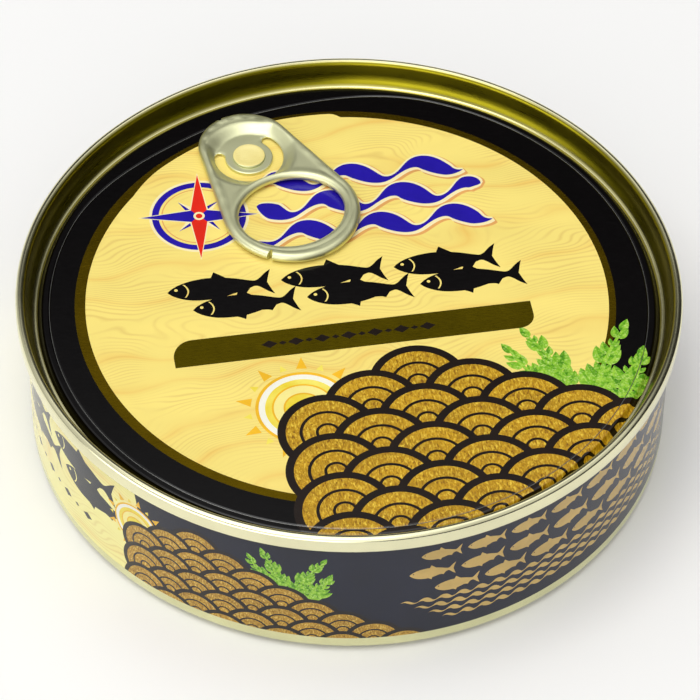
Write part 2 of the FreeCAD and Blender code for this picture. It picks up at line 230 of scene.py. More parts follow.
def shade(c, k):
    return tuple(min(1.0, v * k) for v in c)


# ------------------------------------------------------------------ materials
def ring_scratches(n):
    """Fine scuffs that run round the tin, as the seaming and stacking leave them."""
    x, y, z = n.split(n.mm())[:]
    radius = n.math("SQRT", n.math("ADD", n.math("MULTIPLY", x, x), n.math("MULTIPLY", y, y)))
    across = n.math("MULTIPLY", n.math("ADD", radius, n.math("MULTIPLY", z, 0.9)), 9.0)
    vec = n.join(n.math("MULTIPLY", x, 0.30), n.math("MULTIPLY", y, 0.30), across)
    return n.noise(vec, 1.0, 3.0, 0.6)


def metal(name, base, rough_lo, rough_hi, tone=0.10, scuff=True, well_tint_and_shade=None, peel=0.10):
    """Tinplate; the well tint darkens the chuck wall inside the seam: partly its gold lacquer, partly painted shade of
    the recess.
    """
    n = Nodes(name)
    cloud = n.noise(n.mm(), 0.09, 3.0, 0.55)
    fine = n.noise(n.mm(), 2.2, 2.0, 0.6)
    colour = n.mix(n.span(cloud, 0.0, 1.0, 0.3, 0.7), shade(base, 1.0 - tone), shade(base, 1.0 + tone * 0.6))
    if well_tint_and_shade:
        x, y, z = n.split(n.mm())[:]
        radius = n.math("SQRT", n.math("ADD", n.math("MULTIPLY", x, x), n.math("MULTIPLY", y, y)))
        deep_tint_and_shade = n.mix(n.span(cloud, 0.0, 1.0, 0.3, 0.7), shade(well_tint_and_shade, 1.0 - tone), shade(well_tint_and_shade, 1.0 + tone * 0.6))
        # painted shade: the darker tint covers the chuck wall and runs onto the inside of the crown, partly gold
        # lacquer, partly painted shade of the recess
        part = n.math("MULTIPLY", n.span(radius, 1.0, 0.0, SEAM_R - 1.28, SEAM_R - 0.84), n.span(radius, 0.30, 1.0, SINK_R + 0.10, SINK_R + 0.65))
        colour = n.mix(part, colour, deep_tint_and_shade)
        # painted shade: darkest on the inside of the crown, where the wall rolls over into the seam
        lip = n.math("MULTIPLY", part, n.span(radius, 0.0, 0.45, SEAM_R - 1.50, SEAM_R - 1.25))
        colour = n.mix(lip, colour, shade(well_tint_and_shade, 0.12))
    lines = ring_scratches(n) if scuff else n.noise(n.mm((1.0, 1.0, 1.0)), 6.0, 3.0, 0.6)
    rough = n.math("ADD", n.span(lines, rough_lo, rough_hi, 0.3, 0.7), n.span(cloud, -0.02, 0.02, 0.3, 0.7))
    if well_tint_and_shade:
        rough = n.math("ADD", rough, n.math("MULTIPLY", part, 0.14))
    n.set(Base_Color=colour, Metallic=1.0, Roughness=rough, IOR=1.5)
    n.bump(n.math("ADD", n.math("MULTIPLY", lines, 0.7), n.math("MULTIPLY", fine, 0.3)), peel, 0.012)
    return n.mat


def ink(name, base, tone=0.10, rough=0.15, second=None, fleck=0.10, gloss=0.5):
    """Offset print under clear can lacquer."""
    n = Nodes(name)
    cloud = n.noise(n.mm(), 0.16, 3.0, 0.6)
    grain = n.noise(n.mm(), 5.0, 2.0, 0.7)
    low = shade(base, 1.0 - tone)
    high = second or shade(base, 1.0 + tone)
    colour = n.mix(n.span(cloud, 0.0, 1.0, 0.32, 0.68), low, high)
    colour = n.mix(n.span(grain, 0.0, fleck, 0.45, 0.8), colour, shade(base, 0.55))
    scuff = n.noise(n.mm((0.7, 6.0, 1.0), 0.5), 1.0, 3.0, 0.65)
    n.set(Base_Color=colour, Roughness=n.span(scuff, rough - 0.03, rough + 0.07, 0.3, 0.75), IOR=1.45, Specular_IOR_Level=gloss)
    n.bump(n.math("ADD", grain, n.math("MULTIPLY", cloud, 2.0)), 0.05, 0.01)
    return n.mat


def wavy_ink(name, base, line, soft, turn, wall=False):
    """Cream-yellow ground with fine flowing contour lines and soft shading between them."""
    n = Nodes(name)
    if wall:
        x, y, z = n.split(n.mm())[:]
        arc = n.math("MULTIPLY", n.math("ARCTAN2", n.math("MULTIPLY", y, -1.0), n.math("MULTIPLY", x, -1.0)), WALL_R)
        flat = n.join(arc, z, 0.0)
    else:
        flat = n.mm((1, 1, 0), -turn)
    x, y, z = n.split(flat)[:]
    swell = n.noise(n.join(n.math("MULTIPLY", x, 0.045), n.math("MULTIPLY", y, 0.085), 3.0), 1.0, 1.5, 0.45)
    ripple = n.math("SINE", n.math("ADD", n.math("MULTIPLY", x, 0.36), n.math("MULTIPLY", y, 0.21)))
    height = n.math("ADD", y, n.math("ADD", n.math("MULTIPLY", swell, 17.0), n.math("MULTIPLY", ripple, 0.9)))
    phase = n.math("FRACT", n.math("MULTIPLY", height, 1.35))
    gap = n.math("ABSOLUTE", n.math("SUBTRACT", phase, 0.5))
    thin = n.span(gap, 1.0, 0.0, 0.0, 0.26)
    patch = n.noise(n.join(n.math("MULTIPLY", x, 0.075), n.math("MULTIPLY", y, 0.11), 9.0), 1.0, 2.0, 0.5)
    shown = n.span(patch, 0.0, 1.0, 0.40, 0.62)
    band = n.math("FRACT", n.math("MULTIPLY", height, 0.122))
    trough = n.math("POWER", n.math("SUBTRACT", 1.0, n.math("ABSOLUTE", n.math("SUBTRACT", n.math("MULTIPLY", band, 2.0), 1.0))), 5.0)
    wash = n.noise(n.join(n.math("MULTIPLY", x, 0.05), n.math("MULTIPLY", y, 0.14), 21.0), 1.0, 2.0, 0.5)
    colour = n.mix(n.span(wash, 0.0, 1.0, 0.3, 0.7), shade(base, 0.96), shade(base, 1.04))
    colour = n.mix(n.math("MULTIPLY", trough, n.span(wash, 0.9, 0.15, 0.35, 0.65)), colour, soft)
    strength = n.math("MULTIPLY", n.math("MULTIPLY", thin, shown), 0.36, clamp=True)
    colour = n.mix(strength, colour, line)
    speck = n.voronoi(n.mm(), 0.11)
    colour = n.mix(n.span(speck, 0.55, 0.0, 0.0, 0.035), colour, shade(line, 0.4))
    scuff = n.noise(n.mm((0.7, 6.0, 1.0), 0.5), 1.0, 3.0, 0.65)
    n.set(Base_Color=colour, Roughness=n.span(scuff, 0.13, 0.24, 0.3, 0.75), IOR=1.45)
    n.bump(n.noise(n.mm(), 3.0, 2.0, 0.6), 0.05, 0.01)
    return n.mat


def gilt_ink(name, base, dark, light, turn, wall=False):
    """Stippled gold print: short bright and brown flecks over a golden ground."""
    n = Nodes(name)
    if wall:
        x, y, z = n.split(n.mm())[:]
        arc = n.math("MULTIPLY", n.math("ARCTAN2", n.math("MULTIPLY", y, -1.0), n.math("MULTIPLY", x, -1.0)), WALL_R)
        flat = n.join(arc, z, 0.0)
        k = 1.5
    else:
        flat = n.mm((1, 1, 0), -turn)
        k = 1.0
    x, y, z = n.split(flat)[:]
    streak = n.noise(n.join(n.math("MULTIPLY", x, 2.9 * k), n.math("MULTIPLY", y, 1.15 * k), 0.0), 1.0, 2.0, 0.7, 0.8)
    fine = n.noise(n.join(n.math("MULTIPLY", x, 5.5 * k), n.math("MULTIPLY", y, 2.4 * k), 5.0), 1.0, 1.0, 0.6, 0.5)
    cloud = n.noise(n.join(n.math("MULTIPLY", x, 0.16), n.math("MULTIPLY", y, 0.30), 2.0), 1.0, 2.0, 0.5)
    colour = n.mix(n.span(cloud, 0.0, 1.0, 0.3, 0.7), base, shade(base, 0.72))
    colour = n.mix(n.span(streak, 0.0, 0.85, 0.52, 0.68), colour, light)
    colour = n.mix(n.span(streak, 0.9, 0.0, 0.30, 0.46), colour, dark)
    colour = n.mix(n.span(fine, 0.0, 0.55, 0.55, 0.75), colour, shade(dark, 1.6))
    n.set(Base_Color=colour, Roughness=n.span(fine, 0.14, 0.26, 0.3, 0.7), IOR=1.45)
    n.bump(streak, 0.06, 0.01)
    return n.mat


def leaf_ink(name, base, dark, light):
    n = Nodes(name)
    veins = n.noise(n.mm(), 0.9, 3.0, 0.6, 1.2)
    fine = n.noise(n.mm(), 3.4, 2.0, 0.6)
    colour = n.mix(n.span(veins, 0.0, 1.0, 0.38, 0.62), dark, base)
    colour = n.mix(n.span(fine, 0.0, 0.8, 0.52, 0.72), colour, light)
    n.set(Base_Color=colour, Roughness=n.span(fine, 0.14, 0.25, 0.3, 0.7), IOR=1.45)
    n.bump(fine, 0.05, 0.01)
    return n.mat


def clear_gold(name, base, rough=0.30):
    """Tinted see-through lacquer over bare tinplate, where the opaque print leaves a gap."""
    n = Nodes(name)
    lines = n.noise(n.mm((1.0, 14.0, 1.0), 0.17), 1.0, 3.0, 0.6)
    cloud = n.noise(n.mm(), 0.12, 3.0, 0.6)
    colour = n.mix(n.span(cloud, 0.0, 1.0, 0.3, 0.7), shade(base, 0.86), shade(base, 1.12))
    n.set(Base_Color=colour, Metallic=1.0, Roughness=n.span(lines, rough - 0.05, rough + 0.09, 0.3, 0.7))
    n.bump(lines, 0.12, 0.01)
    return n.mat


PRINT_TURN = math.radians(10.2)     # the end's print sits turned on the tin
MATS = {
    "lacquered": metal("lacquered_tinplate", (0.82, 0.79, 0.52), 0.12, 0.20, well_tint_and_shade=(0.34, 0.292, 0.012)),
    "wall_metal": metal("foot_tinplate", (0.76, 0.75, 0.45), 0.16, 0.28),
    "under_metal": metal("under_tinplate", (0.62, 0.60, 0.42), 0.24, 0.38),
    # painted shade: the score groove's bare metal, darkened below tinplate as painted shade in the groove
    "groove_shade": metal("score_metal_shaded", (0.20, 0.20, 0.19), 0.25, 0.4),
    "tab": metal("tab_steel", (0.715, 0.725, 0.455), 0.38, 0.50, 0.07, scuff=False, peel=0.28),
    "black": ink("print_black", (0.0010, 0.0005, 0.0007), 0.25, 0.10, gloss=0.36),
    "black_shape": ink("print_black_shape", (0.0012, 0.0006, 0.0008), 0.25, 0.12, gloss=0.40),
    "dark": ink("print_dark_brown", (0.010, 0.0045, 0.0022), 0.30, 0.13),
    "navy": ink("print_navy", (0.0050, 0.0075, 0.0240), 0.20, 0.15),
    "blue": ink("print_blue", (0.016, 0.006, 0.36), 0.12),
    "red": ink("print_red", (0.80, 0.022, 0.008), 0.08),
    "cream": ink("print_cream", (0.97, 0.85, 0.48), 0.04),
    "tan": ink("print_tan", (0.80, 0.40, 0.12), 0.10),
    "white": ink("print_white", (0.94, 0.93, 0.80), 0.03),
    "sun": ink("print_sun", (0.93, 0.70, 0.03), 0.08, second=(0.98, 0.86, 0.16)),
    "sun_pale": ink("print_sun_pale", (0.97, 0.86, 0.30), 0.04),
    "amber": ink("print_amber", (0.90, 0.50, 0.02), 0.10),
    "gold_ink": ink("print_gold", (0.62, 0.42, 0.13), 0.12),
    "olive": clear_gold("gap_olive", (0.20, 0.13, 0.004), 0.2),
    "plate": clear_gold("plate_olive", (0.165, 0.122, 0.003), 0.26),
    "yellow": wavy_ink("print_yellow", (0.96, 0.78, 0.215), (0.62, 0.36, 0.08), (0.89, 0.58, 0.13), PRINT_TURN),
    "yellow_wall": wavy_ink("print_yellow_wall", (0.99, 0.91, 0.36), (0.66, 0.46, 0.15), (0.93, 0.72, 0.26), 0.0, wall=True),
    "gilt": gilt_ink("print_gilt", (0.60, 0.33, 0.010), (0.15, 0.055, 0.003), (0.95, 0.68, 0.07), PRINT_TURN),
    "gilt_wall": gilt_ink("print_gilt_wall", (0.55, 0.30, 0.03), (0.14, 0.06, 0.01), (0.88, 0.64, 0.14), 0.0, wall=True),
    "rivet": ink("rivet_print", (0.90, 0.74, 0.24), 0.08, 0.28, second=(0.95, 0.83, 0.34)),
    "leaf": leaf_ink("print_leaf", (0.19, 0.49, 0.016), (0.055, 0.24, 0.006), (0.46, 0.72, 0.12)),
    "leaf_light": leaf_ink("print_leaf_light", (0.36, 0.65, 0.05), (0.15, 0.42, 0.014), (0.62, 0.82, 0.25)),
}


# ------------------------------------------------------------------ mesh helpers
def link_mesh(name, points, faces, mats, index, normals=None):
    """points in mm; faces as lists of corner indices; index: one material number per face."""
    mesh = bpy.data.meshes.new(name)
    mesh.from_pydata([(p[0] * 0.001, p[1] * 0.001, p[2] * 0.001) for p in points], [], faces)
    for m in mats:
        mesh.materials.append(MATS[m])
    mesh.polygons.foreach_set("material_index", np.asarray(index, np.int32))
    mesh.polygons.foreach_set("use_smooth", np.ones(len(faces), bool))
    mesh.update()
    if normals is not None:
        mesh.normals_split_custom_set_from_vertices([tuple(v) for v in normals])
    ob = bpy.data.objects.new(name, mesh)
    scene.collection.objects.link(ob)
    return ob


def arc(cx, cz, r, a0, a1, n):
    """Points on an arc in the profile plane, degrees."""
    return [(cx + r * math.cos(math.radians(a)), cz + r * math.sin(math.radians(a))) for a in np.linspace(a0, a1, n)]


def profile_normals(path):
    """Left-hand normals of an open profile, averaged at its points."""
    p = np.array(path, float)
    d = np.diff(p, axis=0)
    d /= np.maximum(np.linalg.norm(d, axis=1, keepdims=True), 1e-12)
    n = np.stack([-d[:, 1], d[:, 0]], 1)
    out = np.vstack([n[:1], n[:-1] + n[1:], n[-1:]])
    return out / np.maximum(np.linalg.norm(out, axis=1, keepdims=True), 1e-12)


class Build:
    """Points, faces and normals gathered for one mesh."""

    def __init__(self):
        self.p, self.f, self.m, self.n = [], [], [], []

    def add(self, point, normal):
        self.p.append(tuple(point))
        self.n.append(tuple(normal))
        return len(self.p) - 1

    def ring(self, r, z, nr, nz, wobble=None):
        ids = []
        for k in range(TURN):
            a = 2 * math.pi * k / TURN
            rr = r + (wobble[k] if wobble is not None else 0.0)
            ids.append(self.add((rr * math.cos(a), rr * math.sin(a), z), (nr * math.cos(a), nr * math.sin(a), nz)))
        return ids

    def strip(self, low, high, mat):
        """Quads between two rings; they face the profile's left side."""
        for k in range(TURN):
            j = (k + 1) % TURN
            self.f.append((low[k], high[k], high[j], low[j]))
            self.m.append(mat)

    def turned(self, path, mat_of, first=None, last=None, wobble=None):
        """Revolves a profile. first and last may be rings that exist already."""
        nrm = profile_normals(path)
        rings = []
        for i, (r, z) in enumerate(path):
            if i == 0 and first is not None:
                rings.append(first)
            elif i == len(path) - 1 and last is not None:
                rings.append(last)
            elif r < 1e-6:
                rings.append(self.add((0, 0, z), (0, 0, nrm[i][1])))
            else:
                rings.append(self.ring(r, z, nrm[i][0], nrm[i][1], wobble))
        for i in range(len(path) - 1):
            a, b = rings[i], rings[i + 1]
            mat = mat_of((path[i][0] + path[i + 1][0]) / 2, (path[i][1] + path[i + 1][1]) / 2)
            if isinstance(a, int) or isinstance(b, int):
                for k in range(TURN):
                    j = (k + 1) % TURN
                    self.f.append((a, b[k], b[j]) if isinstance(a, int) else (a[k], b, a[j]))
                    self.m.append(mat)
            else:
                self.strip(a, b, mat)
        return rings


def inside(points, poly):
    """Even-odd test of many points against one polygon."""
    x, y = points[:, 0], points[:, 1]
    hit = np.zeros(len(points), bool)
    x0, y0 = poly[-1]
    for x1, y1 in poly:
        if y0 != y1:
            span = (y0 > y) != (y1 > y)
            if span.any():
                hit ^= span & (x < (x1 - x0) * (y - y0) / (y1 - y0) + x0)
        x0, y0 = x1, y1
    return hit


def painted(polys, loops=(), lines=(), dots=(), eps=1e-6):
    """Exact division of the plane by painted polygons.

    polys: [(points, paint)] from the lowest to the topmost layer; loops: closed guide lines; lines: open ones.
    Gives points, triangles and for each triangle the topmost paint, or None outside all of them.
    """
    co, edges = [], []

    def put(pts, closed):
        start, count = len(co), len(pts)
        co.extend(Vector((float(p[0]), float(p[1]))) for p in pts)
        edges.extend((start + i, start + i + 1) for i in range(count - 1))
        if closed:
            edges.append((start + count - 1, start))

    for pts, _ in polys:
        put(pts, True)
    for pts in loops:
        put(pts, True)
    for pts in lines:
        put(pts, False)
    co.extend(Vector((float(p[0]), float(p[1]))) for p in dots)
    out = geometry.delaunay_2d_cdt(co, edges, [], 0, eps, False)
    pts = np.array([(v[0], v[1]) for v in out[0]])
    tri = np.array([t for t in out[2] if len(t) == 3])
    a, b, c = pts[tri[:, 0]], pts[tri[:, 1]], pts[tri[:, 2]]
    area = (b[:, 0] - a[:, 0]) * (c[:, 1] - a[:, 1]) - (b[:, 1] - a[:, 1]) * (c[:, 0] - a[:, 0])
    tri[area < 0] = tri[area < 0][:, [0, 2, 1]]
    tri = tri[np.abs(area) > 1e-10]
    centre = pts[tri].mean(axis=1)
    top = np.full(len(tri), -1)
    for k in range(len(polys) - 1, -1, -1):
        poly = [(float(x), float(y)) for x, y in polys[k][0]]
        lo, hi = np.min(poly, axis=0), np.max(poly, axis=0)
        near = np.nonzero((top < 0) & (centre[:, 0] > lo[0]) & (centre[:, 0] < hi[0]) & (centre[:, 1] > lo[1]) & (centre[:, 1] < hi[1]))[0]
        if len(near):
            top[near[inside(centre[near], poly)]] = k
    return pts, [tuple(int(i) for i in t) for t in tri], [polys[k][1] if k >= 0 else None for k in top]


# ------------------------------------------------------------------ generic print motifs
def spline(points, closed=True, step=6):
    """Catmull-Rom through points; a point given twice in a row stays a sharp corner."""
    pts = [np.array(p[:2], float) for p in points]
    sharp = [len(p) > 2 for p in points]
    n = len(pts)
    out = []
    for i in range(n if closed else n - 1):
        p1, p2 = pts[i], pts[(i + 1) % n]
        p0 = p1 if sharp[i] else pts[(i - 1) % n]
        p3 = p2 if sharp[(i + 1) % n] else pts[(i + 2) % n]
        for t in np.linspace(0, 1, step, endpoint=False):
            out.append(0.5 * ((2 * p1) + (p2 - p0) * t + (2 * p0 - 5 * p1 + 4 * p2 - p3) * t * t
                              + (-p0 + 3 * p1 - 3 * p2 + p3) * t ** 3))
    return [tuple(p) for p in out]


FISH = [
    (0.0, 0.0, 1), (0.05, 0.046), (0.13, 0.090), (0.24, 0.122), (0.36, 0.136), (0.43, 0.134, 1), (0.465, 0.205, 1), (0.50, 0.176),
    (0.57, 0.116, 1), (0.67, 0.088), (0.77, 0.052), (0.835, 0.036), (0.88, 0.060), (0.94, 0.120), (1.0, 0.165, 1), (0.972, 0.085), (0.948, 0.0, 1),
    (0.972, -0.085), (1.0, -0.165, 1), (0.94, -0.120), (0.88, -0.060), (0.835, -0.036), (0.78, -0.054, 1), (0.735, -0.120, 1), (0.70, -0.104),
    (0.64, -0.098, 1), (0.55, -0.126), (0.49, -0.140, 1), (0.475, -0.195, 1), (0.43, -0.165), (0.40, -0.150, 1), (0.30, -0.146), (0.20, -0.130), (0.11, -0.094), (0.04, -0.046),
]


def fish(x, y, long, tall=1.0, facing=1.0):
    """Outline, eye and gill line of a plain little fish; x, y is its snout."""
    body = [(x + facing * long * p, y + long * tall * q) for p, q in spline(FISH, step=4)]
    eye = disc(x + facing * long * 0.085, y + long * tall * 0.022, long * 0.017, 14)
    gill = []
    for t in np.linspace(-1, 1, 12):
        gill.append((x + facing * long * (0.205 - 0.035 * t * t), y + long * tall * 0.085 * t))
    for t in np.linspace(1, -1, 12):
        gill.append((x + facing * long * (0.190 - 0.035 * t * t), y + long * tall * 0.085 * t))
    return body, eye, gill


def disc(x, y, r, n=72, a0=0.0):
    return [(x + r * math.cos(a0 + 2 * math.pi * i / n), y + r * math.sin(a0 + 2 * math.pi * i / n)) for i in range(n)]


def ribbon(x0, x1, y, rise, wave, thick, grow=0.0, dx=0.0, dy=0.0, phase=0.0, n=150):
    """A brush-stroke wave: thick on the way down, thin on the way up, pointed at both ends."""
    top, low = [], []
    for i in range(n + 1):
        t = i / n
        x = x0 + (x1 - x0) * t
        a = 2 * math.pi * (x - x0) / wave + phase
        yy = y + rise * math.sin(a)
        slope = rise * 2 * math.pi / wave * math.cos(a)
        body = 0.58 - 0.42 * math.cos(a + 0.5)
        ends = min(1.0, t / 0.07, (1 - t) / 0.07) ** 0.6
        w = thick * 0.5 * body * ends + grow
        s = math.hypot(1.0, slope)
        top.append((x - slope / s * w + dx, yy + w / s + dy))
        low.append((x + slope / s * w + dx, yy - w / s + dy))
    return top + low[::-1]


def leaf(bx, by, angle, long, wide, bend=0.0, n=9):
    """One pointed leaflet, as its two halves."""
    spine, up, low = [], [], []
    for i in range(n + 1):
        t = i / n
        a = angle + bend * t
        px = bx + long * t * math.cos(a)
        py = by + long * t * math.sin(a)
        w = wide * 0.5 * (math.sin(math.pi * t ** 0.72) ** 0.85)
        spine.append((px, py))
        up.append((px - w * math.sin(a), py + w * math.cos(a)))
        low.append((px + w * math.sin(a), py - w * math.cos(a)))
    return spine[:1] + up[1:-1] + spine[-1:] + spine[1:-1][::-1], spine[:1] + spine[1:-1] + spine[-1:] + low[1:-1][::-1]


def frond(bx, by, angle, long, leaves, leaf_long, leaf_wide, bend=0.0):
    """A sprig: leaflets in pairs along a stem, getting shorter to the tip. Gives [(polygon, paint)]."""
    out = []
    stem_up, stem_low = [], []
    for i in range(13):
        t = i / 12
        a = angle + bend * t
        px, py = bx + long * t * math.cos(a), by + long * t * math.sin(a)
        w = 0.05 * leaf_wide * (1.6 - t) * 2.0
        stem_up.append((px - w * math.sin(a), py + w * math.cos(a)))
        stem_low.append((px + w * math.sin(a), py - w * math.cos(a)))
    for i in range(leaves):
        t = 0.06 + 0.90 * i / leaves
        a = angle + bend * t
        px, py = bx + long * t * math.cos(a), by + long * t * math.sin(a)
        k = (1.0 - 0.62 * t) * (0.75 + 0.25 * math.sin(2.1 * i + bx))
        for side in (1, -1):
            upper, lower = leaf(px, py, a + side * (1.02 - 0.25 * t), leaf_long * k, leaf_wide * k, -side * 0.35)
            out.append((upper, "leaf_light" if side > 0 else "leaf"))
            out.append((lower, "leaf" if side > 0 else "leaf_light"))
    tip_u, tip_l = leaf(bx + long * 0.93 * math.cos(angle + bend * 0.93), by + long * 0.93 * math.sin(angle + bend * 0.93), angle + bend, leaf_long * 0.52, leaf_wide * 0.5)
    out += [(tip_u, "leaf"), (tip_l, "leaf_light")]
    out.append((stem_up + stem_low[::-1], "leaf_light"))
    return out


def scale_waves(rows, r, wall=False):
    """Overlapping arcs of water in rows, upper rows first. rows: [(y, [x, ...])]."""
    gilt = "gilt_wall" if wall else "gilt"
    out = []
    for row, (cy, centres) in enumerate(rows):
        for k, cx in enumerate(centres):
            for part, (scale, paint) in enumerate(((1.0, "dark"), (0.835, gilt), (0.565, "dark"), (0.50, gilt), (0.245, "dark"), (0.185, gilt))):
                n = 72 if part < 2 else (48 if part < 4 else 30)
                out.append((disc(cx, cy, r * scale, n, 0.013 * (row + 1) + 0.007 * k), paint))
    return out


def sun(x, y, r, rays=16, a0=0.0):
    """A plain sun: pointed rays round a disc of rings."""
    out = []
    for i in range(rays):
        a = a0 + 2 * math.pi * i / rays
        tip = 1.42 if i % 2 == 0 else 1.27
        half = 0.105 if i % 2 == 0 else 0.075
        out.append(([(x + r * 1.10 * math.cos(a - half), y + r * 1.10 * math.sin(a - half)),
                     (x + r * tip * math.cos(a), y + r * tip * math.sin(a)),
                     (x + r * 1.10 * math.cos(a + half), y + r * 1.10 * math.sin(a + half))], "sun" if i % 2 else "amber"))
    out.append((disc(x, y, r, 96), "amber"))
    out.append((disc(x, y, r * 0.93, 96), "white"))
    out.append((disc(x, y, r * 0.80, 90), "sun"))
    for k, (ring, paint) in enumerate(((0.66, "amber"), (0.62, "sun_pale"), (0.42, "amber"), (0.38, "sun"), (0.18, "white"))):
        out.append((disc(x, y, r * ring, 60, 0.011 * (k + 1)), paint))
    return out


def compass(x, y, r, turn):
    """Eight-pointed star in a ring, each point split down the middle."""
    out = [(disc(x, y, r * 1.06, 96), "cream"), (disc(x, y, r, 96), "blue"), (disc(x, y, r * 0.855, 96), "yellow"),
           (disc(x, y, r * 0.80, 96), "tan"), (disc(x, y, r * 0.775, 96), "yellow")]

    def spike(a, long, wide, left, right):
        tip = (x + long * math.cos(a), y + long * math.sin(a))
        for side, paint in ((1, left), (-1, right)):
            b = a + side * math.radians(45)
            out.append(([(x, y), tip, (x + wide * math.cos(b), y + wide * math.sin(b))], paint))

    for i in range(4):
        spike(turn + math.radians(45 + 90 * i), r * 0.62, r * 0.18, "blue", "cream")
    for i in range(4):
        a = turn + math.radians(90 * i)
        spike(a, r * 1.30, r * 0.275, "cream", "cream")
        spike(a, r * 1.24, r * 0.24, "red" if i % 2 else "blue", "red" if i % 2 else "blue")
    out.append((disc(x, y, r * 0.12, 30), "cream"))
    out.append((disc(x, y, r * 0.07, 24), "red"))
    return out


def diamonds(x0, x1, y, count, size, paint):
    out = []
    for i in range(count):
        x = x0 + (x1 - x0) * i / (count - 1)
        big = size if i % 2 == 0 else size * 0.5
        out.append(([(x - big, y), (x, y - big * 0.62), (x + big, y), (x, y + big * 0.62)], paint))
    return out


def picture(k, rows, wall=False, limit=(-99.0, 99.0)):
    """Sunrise over a heap of water, with sprigs. Its top is at the origin; k scales it."""
    r, pitch = 7.6 * k, 3.9 * k
    heap = []
    for row in range(rows):
        left = -min(row, 2) if row % 2 == 0 else -1
        heap.append((-r - row * pitch, [s * r for s in range(left, row + 1, 2) if limit[0] <= s * r <= limit[1]]))
    out = []
    sx, sy = -18.0 * k, -10.0 * k
    for bx, by, a, long, n, ll, lw, bend in (
        (19.5, -11.5, 134, 9.5, 5, 4.8, 2.7, -0.25), (22.5, -12.5, 100, 13.0, 7, 5.2, 2.9, 0.2), (26.0, -14.0, 72, 14.5, 7, 5.4, 3.0, -0.2),
        (29.5, -15.5, 84, 9.0, 5, 4.6, 2.7, -0.5), (30.0, -15.5, 46, 9.5, 5, 4.8, 2.8, 0.3),
    ):
        out += frond(bx * k, by * k, math.radians(a), long * k, n, ll * k, lw * k, bend)
    out += sun(sx, sy, 7.3 * k, 18, 0.06)
    out += scale_waves(heap, r, wall)
    return out


def name_row(paint, spot):
    """Two staggered files of plain fish, where a name would stand; origin at the left end of the lower edge."""
    out = []
    for y, x0 in ((6.15, 0.0), (1.95, 3.4)):
        for i in range(3):
            body, eye, gill = fish(x0 + 17.7 * i, y, 16.4, 0.98)
            out += [(body, paint), (eye, spot), (gill, spot)]
    return out


def shifted(shapes, dx, dy, turn=0.0, low=None, high=None):
    c, s = math.cos(turn), math.sin(turn)
    out = []
    for pts, paint in shapes:
        new = []
        for x, y in pts:
            px, py = dx + x * c - y * s, dy + x * s + y * c
            if low is not None:
                py = min(max(py, low), high)
            new.append((px, py))
        out.append((new, paint))
    return out


# ------------------------------------------------------------------ can body
BAND_Z = 3.32                       # the label stops here; bare metal below
WALL_TOP = TOP - 2.90               # the wall goes up behind the seam's lip
CUT_AZ = 150.0                      # where the unrolled label begins


def arc_at(az):
    return WALL_R * math.radians((az - CUT_AZ) % 360.0)


def label_art():
    low, high = BAND_Z, WALL_TOP - 0.01
    art = []
    full = 2 * math.pi * WALL_R
    art.append(([(0, CAN_LO[2] + 2.3), (full, CAN_LO[2] + 2.3), (full, WALL_TOP), (0, WALL_TOP)], "wall_metal"))
    art.append(([(0, BAND_Z), (full, BAND_Z), (full, WALL_TOP), (0, WALL_TOP)], "navy"))
    # pale panel with a bulging right end
    x0, x1 = arc_at(157.0), arc_at(230.4)
    side = [(x1 + 1.35 * math.sin(math.pi * t) ** 0.8, low + (high - low) * t) for t in np.linspace(0, 1, 25)]
    other = [(x0 - 1.35 * math.sin(math.pi * t) ** 0.8, low + (high - low) * t) for t in np.linspace(1, 0, 25)]
    art.append((side + other, "yellow_wall"))
    art += shifted(name_row("navy", "yellow_wall"), arc_at(166.5), 12.6)
    art += diamonds(arc_at(172.0), arc_at(218.0), 8.3, 15, 1.15, "navy")

    def scene_at(az, limit):
        shapes = shifted(picture(0.60, 9, True, limit), arc_at(az), 21.4)
        kept = []
        for pts, paint in shapes:
            if min(p[1] for p in pts) > high or max(p[1] for p in pts) < low + 0.02:
                continue
            kept.append(([(x, min(max(y, low), high)) for x, y in pts], paint))
        return kept

    art += scene_at(243.5, (-99.0, 99.0))
    # gold school and ripples
    for z, long, count, x in ((20.9, 6.3, 8, 283.0), (17.0, 7.1, 7, 281.0), (13.3, 7.1, 7, 285.5)):
        for i in range(count):
            body, eye, gill = fish(arc_at(x) + i * (long + 0.85), z, long, 1.12)
            art += [(body, "gold_ink"), (eye, "navy")]
    for z, a0, a1 in ((10.7, 279.5, 347.0), (9.2, 282.0, 349.0), (7.7, 284.5, 347.5), (6.2, 287.0, 345.0)):
        art.append((ribbon(arc_at(a0), arc_at(a1), z, 0.28, 2.9, 0.95, n=240), "gold_ink"))
    # the far side, by the same hand
    art += shifted(compass(0, 0, 6.6, math.radians(8)), arc_at(3.0), 13.6)
    art += scene_at(38.0, (-8.0, 99.0))
    for z, long, count, x in ((20.9, 6.3, 7, 84.0), (17.0, 7.1, 6, 82.0), (13.3, 7.1, 6, 86.5)):
        for i in range(count):
            body, eye, gill = fish(arc_at(x) + i * (long + 0.85), z, long, 1.12)
            art += [(body, "gold_ink"), (eye, "navy")]
    for z, a0, a1 in ((10.7, 82.0, 146.0), (9.2, 84.5, 147.0), (7.7, 82.5, 145.0), (6.2, 85.0, 143.0)):
        art.append((ribbon(arc_at(a0), arc_at(a1), z, 0.28, 2.9, 0.95, n=240), "gold_ink"))
    return art


